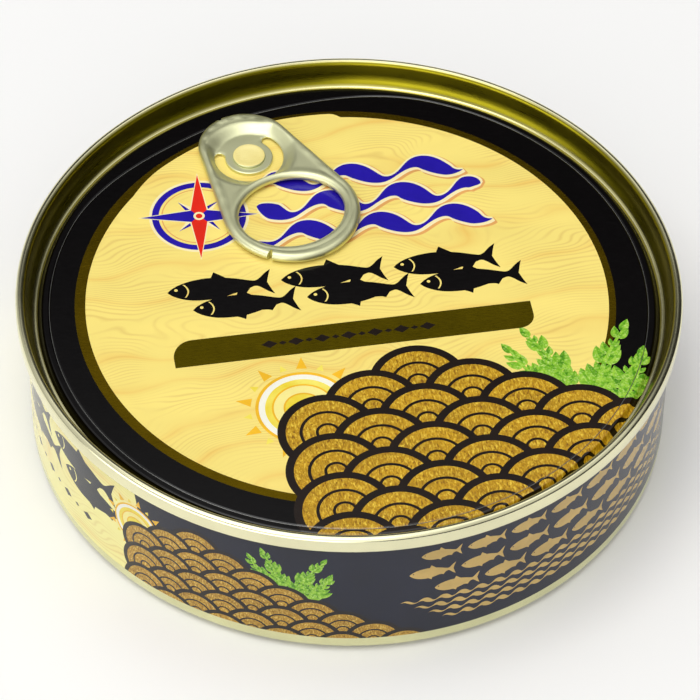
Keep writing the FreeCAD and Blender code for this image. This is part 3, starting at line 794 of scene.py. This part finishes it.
def make_body():
    names = ["wall_metal", "navy", "yellow_wall", "gilt_wall", "dark", "leaf", "leaf_light", "sun", "sun_pale", "amber", "white", "gold_ink", "under_metal",
             "cream", "blue", "yellow", "tan", "red"]
    index = {n: i for i, n in enumerate(names)}
    b = Build()
    foot = CAN_LO[2] + 2.3
    full = 2 * math.pi * WALL_R
    step = full / TURN
    lines = [[(k * step, foot), (k * step, WALL_TOP)] for k in range(1, TURN)]
    levels = [foot + (BAND_Z - foot) * 0.5, BAND_Z, 6.0, 9.0, 12.0, 15.0, 18.0, 21.0, 23.5]
    lines += [[(0, z), (full, z)] for z in levels]
    pts, tris, paint = painted(label_art(), lines=lines)
    seen, order = {}, []
    for s, z in pts:
        az = (math.degrees(s / WALL_R) + CUT_AZ) % 360.0
        key = (round(az, 4) % 360.0, round(z, 4))
        if key not in seen:
            a = math.radians(az)
            seen[key] = b.add((WALL_R * math.cos(a), WALL_R * math.sin(a), z), (math.cos(a), math.sin(a), 0))
        order.append(seen[key])
    for tri, p in zip(tris, paint):
        ids = tuple(order[i] for i in tri)
        if p is not None and len(set(ids)) == 3:
            b.f.append(ids)
            b.m.append(index[p])

    def ring_at(z):
        # rings of the turned parts start at azimuth 0
        return [seen[(round((k * 360.0 / TURN) % 360.0, 4) % 360.0, round(z, 4))] for k in range(TURN)]

    up = [(0.0, TOP - 4.75), (WALL_R - 0.22, TOP - 4.75), (WALL_R - 0.22, WALL_TOP - 0.05), (WALL_R - 0.17, WALL_TOP), (WALL_R, WALL_TOP)]
    b.turned(up, lambda r, z: index["under_metal"], last=ring_at(WALL_TOP))
    round_foot = arc(WALL_R - 2.3, foot, 2.3, 0, -90, 15)
    under = round_foot + [(46.9, 0.0), (46.3, 0.0)] + arc(45.9, 0.35, 0.35, -88, -150, 5)
    under += [(45.3, 0.42), (44.9, 0.62), (44.4, 0.95), (43.95, 1.19), (43.6, 1.29), (43.2, 1.3), (40.0, 1.3), (36.0, 1.3), (31.4, 1.3), (31.0, 1.27), (30.6, 1.12), (30.3, 0.88), (30.0, 0.73), (29.6, 0.7), (24.0, 0.7)]
    under += [(20.6, 0.7), (20.3, 0.74), (20.0, 0.84), (19.7, 0.94), (19.4, 0.98), (19.0, 0.98), (18.7, 0.94), (18.4, 0.84), (18.1, 0.74), (17.8, 0.7), (10.0, 0.7), (4.0, 0.7), (0.0, 0.7)]
    b.turned(under, lambda r, z: index["wall_metal"] if z > 0.9 and r > 47 else index["under_metal"], first=ring_at(foot))
    ob = link_mesh("tin_body", b.p, b.f, names, b.m, b.n)
    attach(ob, "root")
    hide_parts("can_body")
    return ob


# ------------------------------------------------------------------ easy-open end
def score_radius(az):
    away = abs((az - math.degrees(RIVET_AZ) + 180.0) % 360.0 - 180.0)
    t = min(max((away - 8.0) / 36.0, 0.0), 1.0)
    return 46.05 - 2.25 * (1.0 - t * t * (3.0 - 2.0 * t))


def panel_height(x, y):
    r = math.hypot(x, y)
    if r > SINK_R - 0.736:
        return SINK_Z + SINK_ROUND - math.sqrt(max(SINK_ROUND ** 2 - (r - SINK_R) ** 2, 0.0))
    if r > SINK_R - 0.953:
        t = (r - (SINK_R - 0.953)) / 0.217
        return (PANEL - 0.25) + t * ((SINK_Z + 0.425) - (PANEL - 0.25))
    if r > SINK_R - 1.386:
        return PANEL - 0.5 + math.sqrt(max(0.25 - (r - (SINK_R - 1.386)) ** 2, 0.0))
    az = math.degrees(math.atan2(y, x))
    d = abs(r - score_radius(az))
    return PANEL - 0.12 * min(max((0.175 - d) / 0.115, 0.0), 1.0)


def end_art():
    art = []
    art.append((disc(0, 0, SINK_R, TURN), "lacquered"))
    art.append((disc(0, 0, PRINT_R, TURN), "black"))
    art.append((disc(-0.55, 0.12, 41.62, 360), "olive"))
    bulge = []
    for d in np.linspace(88.0, 158.0, 90):
        t = min(max((d - 91.0) / 4.0, 0.0), 1.0) * min(max((157.0 - d) / 20.0, 0.0), 1.0)
        r = 40.0 + 1.25 * t * t * (3.0 - 2.0 * t)
        bulge.append((r * math.cos(math.radians(d)), r * math.sin(math.radians(d))))
    art.append((bulge + [(0, 0)], "yellow"))
    art.append((disc(-0.27, 0.144, 40.26, 360), "yellow"))
    flat = []
    flat += shifted(picture(1.0, 11), 7.6, -10.9)
    # plain dark plate: upper left and lower right corners rounded
    x0, x1, y0, y1 = -28.3, 27.5, -9.9, -4.5
    plate = [(x0, y0), (x1 - 2.6, y0)]
    plate += [(x1 - 2.6 + 2.6 * math.sin(t), y0 + 2.6 - 2.6 * math.cos(t)) for t in np.linspace(0, math.pi / 2, 10)][1:]
    plate += [(x1, y1), (x0 + 3.2, y1)]
    plate += [(x0 + 3.2 - 3.2 * math.sin(t), y1 - 3.6 + 3.6 * math.cos(t)) for t in np.linspace(0, math.pi / 2, 12)][1:]
    flat.append((plate, "plate"))
    flat += diamonds(-13.5, 11.0, -7.2, 13, 1.25, "dark")
    flat += shifted(name_row("black_shape", "yellow"), -27.4, -0.3)
    # compass and three brush-stroke waves
    flat += compass(-20.2, 21.6, 7.4, math.radians(-6))
    for y, xa, xb, thick, ph in ((26.6, -9.8, 22.6, 3.3, 0.3), (21.0, -11.0, 24.8, 3.9, 2.0), (15.2, -12.5, 25.2, 3.5, 3.6)):
        flat.append((ribbon(xa, xb, y, 1.45, 11.6, thick, 0.62, 0.42, -0.42, ph), "tan"))
        flat.append((ribbon(xa, xb, y, 1.45, 11.6, thick, 0.48, 0.12, -0.12, ph), "cream"))
    for y, xa, xb, thick, ph in ((26.6, -9.8, 22.6, 3.3, 0.3), (21.0, -11.0, 24.8, 3.9, 2.0), (15.2, -12.5, 25.2, 3.5, 3.6)):
        flat.append((ribbon(xa, xb, y, 1.45, 11.6, thick, 0.0, 0.0, 0.0, ph), "blue"))
    turned_art = shifted(flat, 0.0, 0.0, PRINT_TURN)
    edge = PRINT_R - 0.02
    for pts, paint in turned_art:
        if min(math.hypot(x, y) for x, y in pts) > edge - 0.1:
            continue
        new = []
        for x, y in pts:
            r = math.hypot(x, y)
            k = min(1.0, edge / r) if r > 0 else 1.0
            new.append((x * k, y * k))
        art.append((new, paint))
    return art


def make_end():
    names = ["lacquered", "black", "olive", "yellow", "plate", "gilt", "dark", "leaf", "leaf_light", "sun", "sun_pale", "amber", "white", "black_shape",
             "blue", "red", "cream", "tan", "groove_shade", "under_metal"]
    index = {n: i for i, n in enumerate(names)}
    b = Build()
    rings = [48.18, 48.10, 48.0, 47.82, 47.74, 47.66, 47.59, 47.53, 47.45, 47.37, 47.297, 47.23, 47.16, 47.09, 47.0, 46.93, 46.864, 46.7]
    loops = [disc(0, 0, r, TURN) for r in rings]
    for shift in (-0.26, -0.175, -0.06, 0.06, 0.175, 0.26):
        loops.append([((score_radius(a) + shift) * math.cos(math.radians(a)), (score_radius(a) + shift) * math.sin(math.radians(a)))
                      for a in np.arange(TURN) * 360.0 / TURN])
    dots = []
    for i in range(-23, 24):
        for j in range(-23, 24):
            x = (i + 0.5 * (j % 2)) * 2.0 + RNG.uniform(-0.2, 0.2)
            y = j * 1.9 + RNG.uniform(-0.2, 0.2)
            if math.hypot(x, y) < 43.4:
                dots.append((x, y))
    pts, tris, paint = painted(end_art(), loops=loops, dots=dots)
    h = 0.02
    outer = {}
    for i, (x, y) in enumerate(pts):
        z = panel_height(x, y)
        gx = (panel_height(x + h, y) - panel_height(x - h, y)) / (2 * h)
        gy = (panel_height(x, y + h) - panel_height(x, y - h)) / (2 * h)
        r = math.hypot(x, y)
        if r > SINK_R - 0.03:
            gx = gy = 0.0
            z = SINK_Z
        k = 1.0 / math.sqrt(gx * gx + gy * gy + 1.0)
        b.add((x, y, z), (-gx * k, -gy * k, k))
        if r > SINK_R - 0.001:
            outer[round(math.degrees(math.atan2(y, x)) % 360.0 / (360.0 / TURN)) % TURN] = i
    for tri, p in zip(tris, paint):
        if p is None:
            continue
        cx, cy = pts[list(tri)].mean(axis=0)
        r = math.hypot(cx, cy)
        if r < 46.7 and abs(r - score_radius(math.degrees(math.atan2(cy, cx)))) < 0.075:
            # the score line takes the darkened metal: painted shade in the groove
            p = "groove_shade"
        b.f.append(tuple(tri))
        b.m.append(index[p])
    ring0 = [outer[k] for k in range(TURN)]
    lean = 6.8
    crown_r, crown_z = SEAM_R - 0.75, TOP - 0.75
    hollow = math.radians(38.0)
    path = arc(SINK_R, SINK_Z + 0.6, 0.6, -90, -38, 9)
    path += arc(SINK_R - 3.0 * math.cos(hollow), SINK_Z + 0.6 + 3.0 * math.sin(hollow), 3.6, -38, -lean, 18)[1:]
    top_in = (crown_r - 0.75 * math.cos(math.radians(lean)), crown_z + 0.75 * math.sin(math.radians(lean)))
    low_in = path[-1]
    for t in (0.15, 0.35, 0.55, 0.75, 0.9):
        path.append((low_in[0] + t * (top_in[0] - low_in[0]), low_in[1] + t * (top_in[1] - low_in[1])))
    path += arc(crown_r, crown_z, 0.75, 180 - lean, 0, 40)
    z1 = crown_z
    path += [(SEAM_R, z1 - 0.05), (SEAM_R - 0.003, z1 - 0.12), (SEAM_R - 0.006, z1 - 0.22), (SEAM_R - 0.003, z1 - 0.34), (SEAM_R, z1 - 0.45)]
    path += [(SEAM_R, z1 - 0.75), (SEAM_R + 0.0, z1 - 1.1), (SEAM_R - 0.01, z1 - 1.4)]
    path += arc(SEAM_R - 0.65, TOP - 3.0 + 0.65, 0.64, -6, -90, 12)
    path += [(WALL_R + 0.35, TOP - 2.985), (WALL_R + 0.12, TOP - 2.95), (WALL_R + 0.03, TOP - 2.84), (WALL_R - 0.02, TOP - 2.80), (WALL_R - 0.20, TOP - 2.80), (WALL_R - 0.20, TOP - 4.70), (0.0, TOP - 4.70)]
    b.turned(path, lambda r, z: index["under_metal"] if r < WALL_R - 0.01 and z < TOP - 4.4 else index["lacquered"], first=ring0)
    ob = link_mesh("easy_open_end", b.p, b.f, names, b.m, b.n)
    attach(ob, "root")
    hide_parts("lid")
    return ob


def make_rivet():
    """The rivet drawn up out of the printed panel: stem and flattened head."""
    base = PANEL - 0.05
    head = PANEL + 0.6
    path = [(0.0, base), (1.6, base), (1.6, head - 0.04), (1.75, head), (2.4, head), (2.56, head + 0.05), (2.6, head + 0.14)]
    path += arc(2.32, head + 0.13, 0.28, 5, 78, 8)
    path += [(2.2, head + 0.40), (2.02, head + 0.395), (1.85, head + 0.365), (1.6, head + 0.33), (1.2, head + 0.325), (0.6, head + 0.325), (0.0, head + 0.325)]
    path = path[::-1]
    b = Build()
    nrm = profile_normals(path)
    turn, ids = 96, []
    for (r, z), (nr, nz) in zip(path, nrm):
        if r < 1e-6:
            ids.append(b.add((RIVET[0], RIVET[1], z), (0, 0, nz)))
            continue
        row = []
        for k in range(turn):
            a = 2 * math.pi * k / turn
            row.append(b.add((RIVET[0] + r * math.cos(a), RIVET[1] + r * math.sin(a), z), (nr * math.cos(a), nr * math.sin(a), nz)))
        ids.append(row)
    for i in range(len(path) - 1):
        p, q = ids[i], ids[i + 1]
        for k in range(turn):
            j = (k + 1) % turn
            if isinstance(p, int):
                b.f.append((p, q[k], q[j]))
            elif isinstance(q, int):
                b.f.append((p[k], q, p[j]))
            else:
                b.f.append((p[k], q[k], q[j], p[j]))
            b.m.append(0 if path[i][1] > head + 0.36 or path[i][0] < 1.7 else 1)
    ob = link_mesh("rivet_head", b.p, b.f, ["rivet", "tab"], b.m, b.n)
    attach(ob, "root")
    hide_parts("lid")
    return ob


# ------------------------------------------------------------------ ring-pull tab
def make_tab():
    """Stamped tab: curled rim, beaded finger hole, sunk island cut free by a C-shaped slot.

    Worked out in its own plane, nose centre at the origin and tail towards +X; z = 0 is the underside of the rim.
    """
    reach = TAB_LEN
    nose_r, ring_r = NOSE_R - 0.04, RING_R - 0.02
    side_n, side_t = 0.30, 0.34
    hole_x, hole_y, hole_a, hole_b = reach + 0.26, 0.22, 7.45, 8.5
    lean = (nose_r - ring_r) / reach
    open_a = math.acos(lean)
    roll = 0.8
    tall = 2 * roll

    def smooth(t):
        t = np.clip(t, 0.0, 1.0)
        return t * t * (3 - 2 * t)

    def edge_dist(x, y):
        px, py = np.abs(y - side_n - (side_t - side_n) * x / reach), x
        a = math.sqrt(1 - lean * lean)
        k = -px * lean + py * a
        flank = nose_r - (px * a + py * lean)
        return np.where(k < 0, nose_r - np.hypot(px, py), np.where(k > a * reach, ring_r - np.hypot(px, py - reach), flank))

    def hole_dist(x, y):
        u, v = (x - hole_x) / hole_a, (y - hole_y) / hole_b
        f = np.hypot(u, v)
        slope = np.hypot(u / hole_a, v / hole_b) / np.maximum(f, 1e-9)
        return (f - 1.0) / np.maximum(slope, 1e-9)

    def rim(d):
        pts = []
        for a in np.linspace(open_a, 2 * math.pi - open_a, 96):
            pts.append(((nose_r - d) * math.cos(a), side_n + (nose_r - d) * math.sin(a)))
        low = pts[-1]
        start = (reach + (ring_r - d) * math.cos(open_a), side_t - (ring_r - d) * math.sin(open_a))
        for t in np.linspace(0, 1, 30)[1:-1]:
            pts.append((low[0] + t * (start[0] - low[0]), low[1] + t * (start[1] - low[1])))
        for a in np.linspace(-open_a, open_a, 132):
            pts.append((reach + (ring_r - d) * math.cos(a), side_t + (ring_r - d) * math.sin(a)))
        high, end = pts[-1], pts[0]
        for t in np.linspace(0, 1, 30)[1:-1]:
            pts.append((high[0] + t * (end[0] - high[0]), high[1] + t * (end[1] - high[1])))
        return pts

    def bead(d):
        pts = []
        for a in np.linspace(0, 2 * math.pi, 168, endpoint=False):
            ca, sa = math.cos(a), math.sin(a)
            k = 1.0 / math.hypot(ca / hole_a, sa / hole_b)
            n = np.array([ca / hole_a ** 2, sa / hole_b ** 2])
            n /= np.linalg.norm(n)
            pts.append((hole_x + k * ca + n[0] * d, hole_y + k * sa + n[1] * d))
        return pts

    rx, ry = 2.0, 0.0
    slot_in, slot_out, slot_end = 3.75, 5.5, math.radians(125)
    cap = (slot_out - slot_in) / 2
    mid = (slot_out + slot_in) / 2
    half = slot_end - cap / mid * 0.9
    slot = [(rx + slot_out * math.cos(a), ry + slot_out * math.sin(a)) for a in np.linspace(-half, half, 90)]
    slot += [(rx + mid * math.cos(half) + cap * math.cos(half + b), ry + mid * math.sin(half) + cap * math.sin(half + b)) for b in np.linspace(0, math.pi, 14)[1:-1]]
    slot += [(rx + slot_in * math.cos(a), ry + slot_in * math.sin(a)) for a in np.linspace(half, -half, 80)]
    slot += [(rx + mid * math.cos(-half) + cap * math.cos(-half + b), ry + mid * math.sin(-half) + cap * math.sin(-half + b)) for b in np.linspace(-math.pi, 0, 14)[1:-1]]

    def cut(ax, ay, angle, depth, wide_in, wide_out):
        """A small notch through the rim, open outwards; ax, ay is its inner end."""
        c, s = math.cos(angle), math.sin(angle)
        pts = [(depth + 0.6, wide_out / 2 + 0.10), (depth, wide_out / 2), (0.12, wide_in / 2), (0.02, wide_in / 4), (0.0, 0.0), (0.02, -wide_in / 4), (0.12, -wide_in / 2), (depth, -wide_out / 2), (depth + 0.6, -wide_out / 2 - 0.10)]
        return [(ax + u * c - v * s, ay + u * s + v * c) for u, v in pts]

    a1 = math.radians(-45.5)
    notches = [
        cut(reach + (ring_r - 1.15) * math.cos(a1), side_t + (ring_r - 1.15) * math.sin(a1), a1, 1.15, 0.40, 0.86),
        cut(-nose_r + 0.72, -0.72, math.radians(187), 0.72, 0.34, 1.15),
        cut(reach + (ring_r - 0.22) * math.cos(math.radians(46.5)), side_t + (ring_r - 0.22) * math.sin(math.radians(46.5)), math.radians(46.5), 0.22, 0.15, 0.35),
    ]
    polys = [(rim(0.0), "tab"), (bead(0.0), "void"), (slot, "void"), (disc(rx, ry, 1.62, 48), "void")] + [(p, "void") for p in notches]
    loops = [rim(d) for d in (0.02, 0.07, 0.15, 0.25, 0.37, 0.5, 0.65, 0.8, 0.95, 1.1, 1.3, 1.5, 1.75, 2.0)]
    loops += [bead(d) for d in (0.02, 0.07, 0.15, 0.25, 0.37, 0.5, 0.65, 0.8, 0.9, 1.05, 1.25, 1.5, 1.8)]
    loops += [disc(rx, ry, r, 128) for r in (3.4, 3.6, 3.68, 4.6, 4.8, 4.95, 5.1, 5.25, 5.4, 5.58, 5.75, 5.95, 6.15, 6.4, 6.65, 6.95, 7.25, 7.6, 7.95)]
    dots = []
    for i in range(-12, 48):
        for j in range(-18, 19):
            x, y = i * 0.62 + 0.31 * (j % 2), j * 0.62
            if edge_dist(x, y) > 2.15 and hole_dist(x, y) > 1.95 and math.hypot(x - rx, y - ry) > 8.1:
                dots.append((x, y))
    pts, tris, paint = painted(polys, loops=loops, dots=dots)
    tris = [t for t, p in zip(tris, paint) if p == "tab"]

    x, y = pts[:, 0], pts[:, 1]
    d, h, r = edge_dist(x, y), hole_dist(x, y), np.hypot(x - rx, y - ry)
    web = tall - 0.07 + 0.03 * smooth((1.5 - x) / 5.5)

    def profile(depth, flat_at, run):
        arch = np.sqrt(np.clip(roll ** 2 - (roll - depth) ** 2, 0.0, None))
        sink = smooth((depth - flat_at) / run)
        return arch, sink

    arch_o, sink_o = profile(np.clip(d, 0, None), 0.95, 1.0)
    arch_h, sink_h = profile(np.clip(h, 0, None), 0.90, 0.95)
    flat_top = np.maximum(tall - (tall - web) * sink_o, tall - (tall - web) * sink_h)
    flat_low = np.minimum(0.55 * sink_o, 0.55 * sink_h)
    top = np.where(d < roll, roll + arch_o, np.where(h < roll, roll + arch_h, flat_top))
    low = np.where(d < roll, roll - arch_o, np.where(h < roll, roll - arch_h, flat_low))
    facing = -(x - rx) / np.maximum(r, 1e-6)
    floor_r = 5.42 - 0.50 * smooth((facing - 0.45) / 0.35)
    e = np.minimum(d - 0.85, h - 0.78)
    w = r - floor_r
    t = w / np.maximum(np.minimum(w + e, 2.35), 0.8)
    rise = np.where((d < roll) | (h < roll), 1.0, smooth(t))
    floor = 0.40
    top = floor + (top - floor) * rise
    low = 0.10 + (low - 0.10) * rise
    press = smooth((4.9 - r) / 0.9)
    low = low * (1 - press) - 0.195 * press
    slot_pts = np.array(slot)
    near = np.min(np.hypot(x[:, None] - slot_pts[None, :, 0], y[:, None] - slot_pts[None, :, 1]), axis=1)
    top = top - 0.07 * np.clip(1 - near / 0.14, 0, 1) ** 2
    # handling marks: the curl is a little uneven, most of all round the nose
    angle = np.arctan2(y - side_t, x - reach * 0.5)
    uneven = 0.022 * np.sin(angle * 9 + 1.0) + 0.014 * np.sin(angle * 23 + 0.4)
    uneven = uneven + 0.05 * np.sin(np.arctan2(y, x) * 17.0 + 0.7) * smooth((-x - 1.0) / 4.0)
    top = top - np.clip(uneven, -0.03, 0.08) * np.where(d < 1.4, smooth(d / 0.3), 0.0) * smooth((1.6 - d) / 0.6)
    # the nose is pressed thinner than the tail
    thin = 1.0 - 0.22 * smooth((-x - 1.0) / 5.0)
    top, low = top * thin, low * thin
    shut = np.abs(top - low) < 2e-3

    used = sorted({i for tri in tris for i in tri})
    count = {}
    for a, b, c in tris:
        for p, q in ((a, b), (b, c), (c, a)):
            count[(p, q)] = count.get((p, q), 0) + 1
    border = [(p, q) for p, q in count if (q, p) not in count]
    on_border = {p for e2 in border for p in e2}
    base = PANEL + 0.2
    turn = math.atan2(TAB_DIR[1], TAB_DIR[0])
    ct, st = math.cos(turn), math.sin(turn)
    points, upper, under = [], {}, {}

    def world(i, z):
        return (NOSE[0] + x[i] * ct - y[i] * st, NOSE[1] + x[i] * st + y[i] * ct, base + z)

    for i in used:
        upper[i] = len(points)
        points.append(world(i, top[i]))
        if i in on_border and shut[i]:
            under[i] = upper[i]
        else:
            under[i] = len(points)
            points.append(world(i, low[i]))
    faces = [(upper[a], upper[b], upper[c]) for a, b, c in tris]
    faces += [(under[c], under[b], under[a]) for a, b, c in tris]
    crisp = set()
    for p, q in border:
        ring = [upper[p], under[p], under[q], upper[q]]
        ring = [v for k, v in enumerate(ring) if v != ring[k - 1]]
        if len(ring) > 2:
            faces.append(tuple(ring))
            for u, v in ((upper[p], upper[q]), (under[p], under[q])):
                if u != v:
                    crisp.add((min(u, v), max(u, v)))
    ob = link_mesh("ring_pull_tab", points, faces, ["tab"], [0] * len(faces))
    for edge in ob.data.edges:
        u, v = edge.vertices
        if (min(u, v), max(u, v)) in crisp:
            edge.use_edge_sharp = True
    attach(ob, "root")
    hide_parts("ring_pull")
    return ob


# ------------------------------------------------------------------ studio
def make_stage():
    ring = [(3.2 * math.cos(2 * math.pi * k / 96), 3.2 * math.sin(2 * math.pi * k / 96), -0.00002) for k in range(96)]
    mesh = bpy.data.meshes.new("floor")
    mesh.from_pydata(ring, [], [list(range(96))])
    n = Nodes("pale_floor")
    cloud = n.noise(n.mm(), 0.004, 2.0, 0.5)
    n.set(Base_Color=n.mix(cloud, (0.925, 0.923, 0.918), (0.95, 0.949, 0.945)), Roughness=0.85)
    mesh.materials.append(n.mat)
    ob = bpy.data.objects.new("floor", mesh)
    scene.collection.objects.link(ob)


def make_light():
    """A white room: a big ceiling panel towards the front, darker walls, one soft key."""
    world = bpy.data.worlds.new("studio")
    scene.world = world
    world.use_nodes = True
    tree = world.node_tree
    tree.nodes.clear()
    new, link = tree.nodes.new, tree.links.new

    def calc(op, a, b=None, clamp=False):
        n = new("ShaderNodeMath")
        n.operation = op
        n.use_clamp = clamp
        for i, v in enumerate((a, b)):
            if v is None:
                continue
            if isinstance(v, (int, float)):
                n.inputs[i].default_value = v
            else:
                link(v, n.inputs[i])
        return n.outputs[0]

    coord = new("ShaderNodeTexCoord").outputs["Generated"]
    split = new("ShaderNodeSeparateXYZ")
    link(coord, split.inputs[0])
    x, y, z = split.outputs
    q = calc("SUBTRACT", z, calc("MULTIPLY", calc("MAXIMUM", y, 0.0), 0.73))
    q = calc("ADD", q, calc("MULTIPLY", calc("MAXIMUM", calc("MULTIPLY", x, -1.0), 0.0), 0.12))
    q = calc("SUBTRACT", q, calc("MULTIPLY", calc("MAXIMUM", x, 0.0), 0.16))
    q = calc("ADD", q, calc("MULTIPLY", calc("MAXIMUM", calc("MULTIPLY", y, -1.0), 0.0), 0.08))
    ramp = new("ShaderNodeValToRGB")
    ramp.color_ramp.interpolation = "EASE"
    stops = [(0.12, 0.04), (0.19, 0.05), (0.24, 0.09), (0.28, 0.20), (0.33, 0.42), (0.39, 0.78), (0.52, 1.0)]
    els = ramp.color_ramp.elements
    while len(els) < len(stops):
        els.new(0.5)
    for e, (p, v) in zip(els, stops):
        e.position = p
        e.color = (v, v, v, 1.0)
    link(q, ramp.inputs[0])
    left = new("ShaderNodeMapRange")
    left.interpolation_type = "SMOOTHSTEP"
    for key, v in (("From Min", 0.3), ("From Max", 0.75), ("To Min", 0.0), ("To Max", 0.5)):
        left.inputs[key].default_value = v
    link(calc("MULTIPLY", x, -1.0), left.inputs["Value"])
    toward = calc("ADD", calc("ADD", calc("MULTIPLY", x, -0.610), calc("MULTIPLY", y, -0.780)), calc("MULTIPLY", z, 0.14))
    low = new("ShaderNodeMapRange")
    low.interpolation_type = "SMOOTHSTEP"
    for key, v in (("From Min", 0.66), ("From Max", 0.84), ("To Min", 0.0), ("To Max", 3.1)):
        low.inputs[key].default_value = v
    link(toward, low.inputs["Value"])
    strip = new("ShaderNodeMapRange")
    strip.interpolation_type = "SMOOTHSTEP"
    for key, v in (("From Min", 0.08), ("From Max", 0.48), ("To Min", 1.55), ("To Max", 0.74)):
        strip.inputs[key].default_value = v
    link(calc("ABSOLUTE", x), strip.inputs["Value"])
    cove_side = new("ShaderNodeMapRange")
    cove_side.interpolation_type = "SMOOTHSTEP"
    for key, v in (("From Min", 0.66), ("From Max", 0.90), ("To Min", 0.0), ("To Max", 0.9)):
        cove_side.inputs[key].default_value = v
    link(y, cove_side.inputs["Value"])
    cove_top = new("ShaderNodeMapRange")
    cove_top.interpolation_type = "SMOOTHSTEP"
    for key, v in (("From Min", 0.15), ("From Max", 0.34), ("To Min", 1.0), ("To Max", 0.0)):
        cove_top.inputs[key].default_value = v
    link(z, cove_top.inputs["Value"])
    path = new("ShaderNodeLightPath")
    low_top = new("ShaderNodeMapRange")
    low_top.interpolation_type = "SMOOTHSTEP"
    for key, v in (("From Min", 0.26), ("From Max", 0.52), ("To Min", 1.0), ("To Max", 0.0)):
        low_top.inputs[key].default_value = v
    link(z, low_top.inputs["Value"])
    sheen = calc("MULTIPLY", calc("MULTIPLY", low.outputs[0], low_top.outputs[0]), path.outputs["Is Glossy Ray"])
    sky = calc("MAXIMUM", calc("MAXIMUM", calc("MULTIPLY", ramp.outputs[0], strip.outputs[0]), left.outputs[0]), sheen)
    sky = calc("MAXIMUM", sky, calc("MULTIPLY", cove_side.outputs[0], cove_top.outputs[0]))
    sky = calc("MULTIPLY", sky, 0.98)
    lit = new("ShaderNodeBackground")
    link(sky, lit.inputs["Strength"])
    lit.inputs["Color"].default_value = (1.0, 0.995, 0.985, 1.0)
    seen = new("ShaderNodeBackground")
    seen.inputs["Color"].default_value = (0.90, 0.90, 0.90, 1.0)
    seen.inputs["Strength"].default_value = 1.0
    mix = new("ShaderNodeMixShader")
    link(path.outputs["Is Camera Ray"], mix.inputs[0])
    link(lit.outputs[0], mix.inputs[1])
    link(seen.outputs[0], mix.inputs[2])
    link(mix.outputs[0], new("ShaderNodeOutputWorld").inputs["Surface"])

    lamp = bpy.data.lights.new("key", "AREA")
    lamp.shape, lamp.size, lamp.size_y = "RECTANGLE", 0.9, 0.9
    lamp.energy = 6.5
    ob = bpy.data.objects.new("key", lamp)
    ob.location = (-0.35, -0.25, 1.4)
    ob.rotation_euler = (-ob.location.normalized()).to_track_quat("-Z", "Y").to_euler()
    scene.collection.objects.link(ob)


# ------------------------------------------------------------------ assembly
make_body()
make_end()
make_rivet()
make_tab()
make_stage()
make_light()
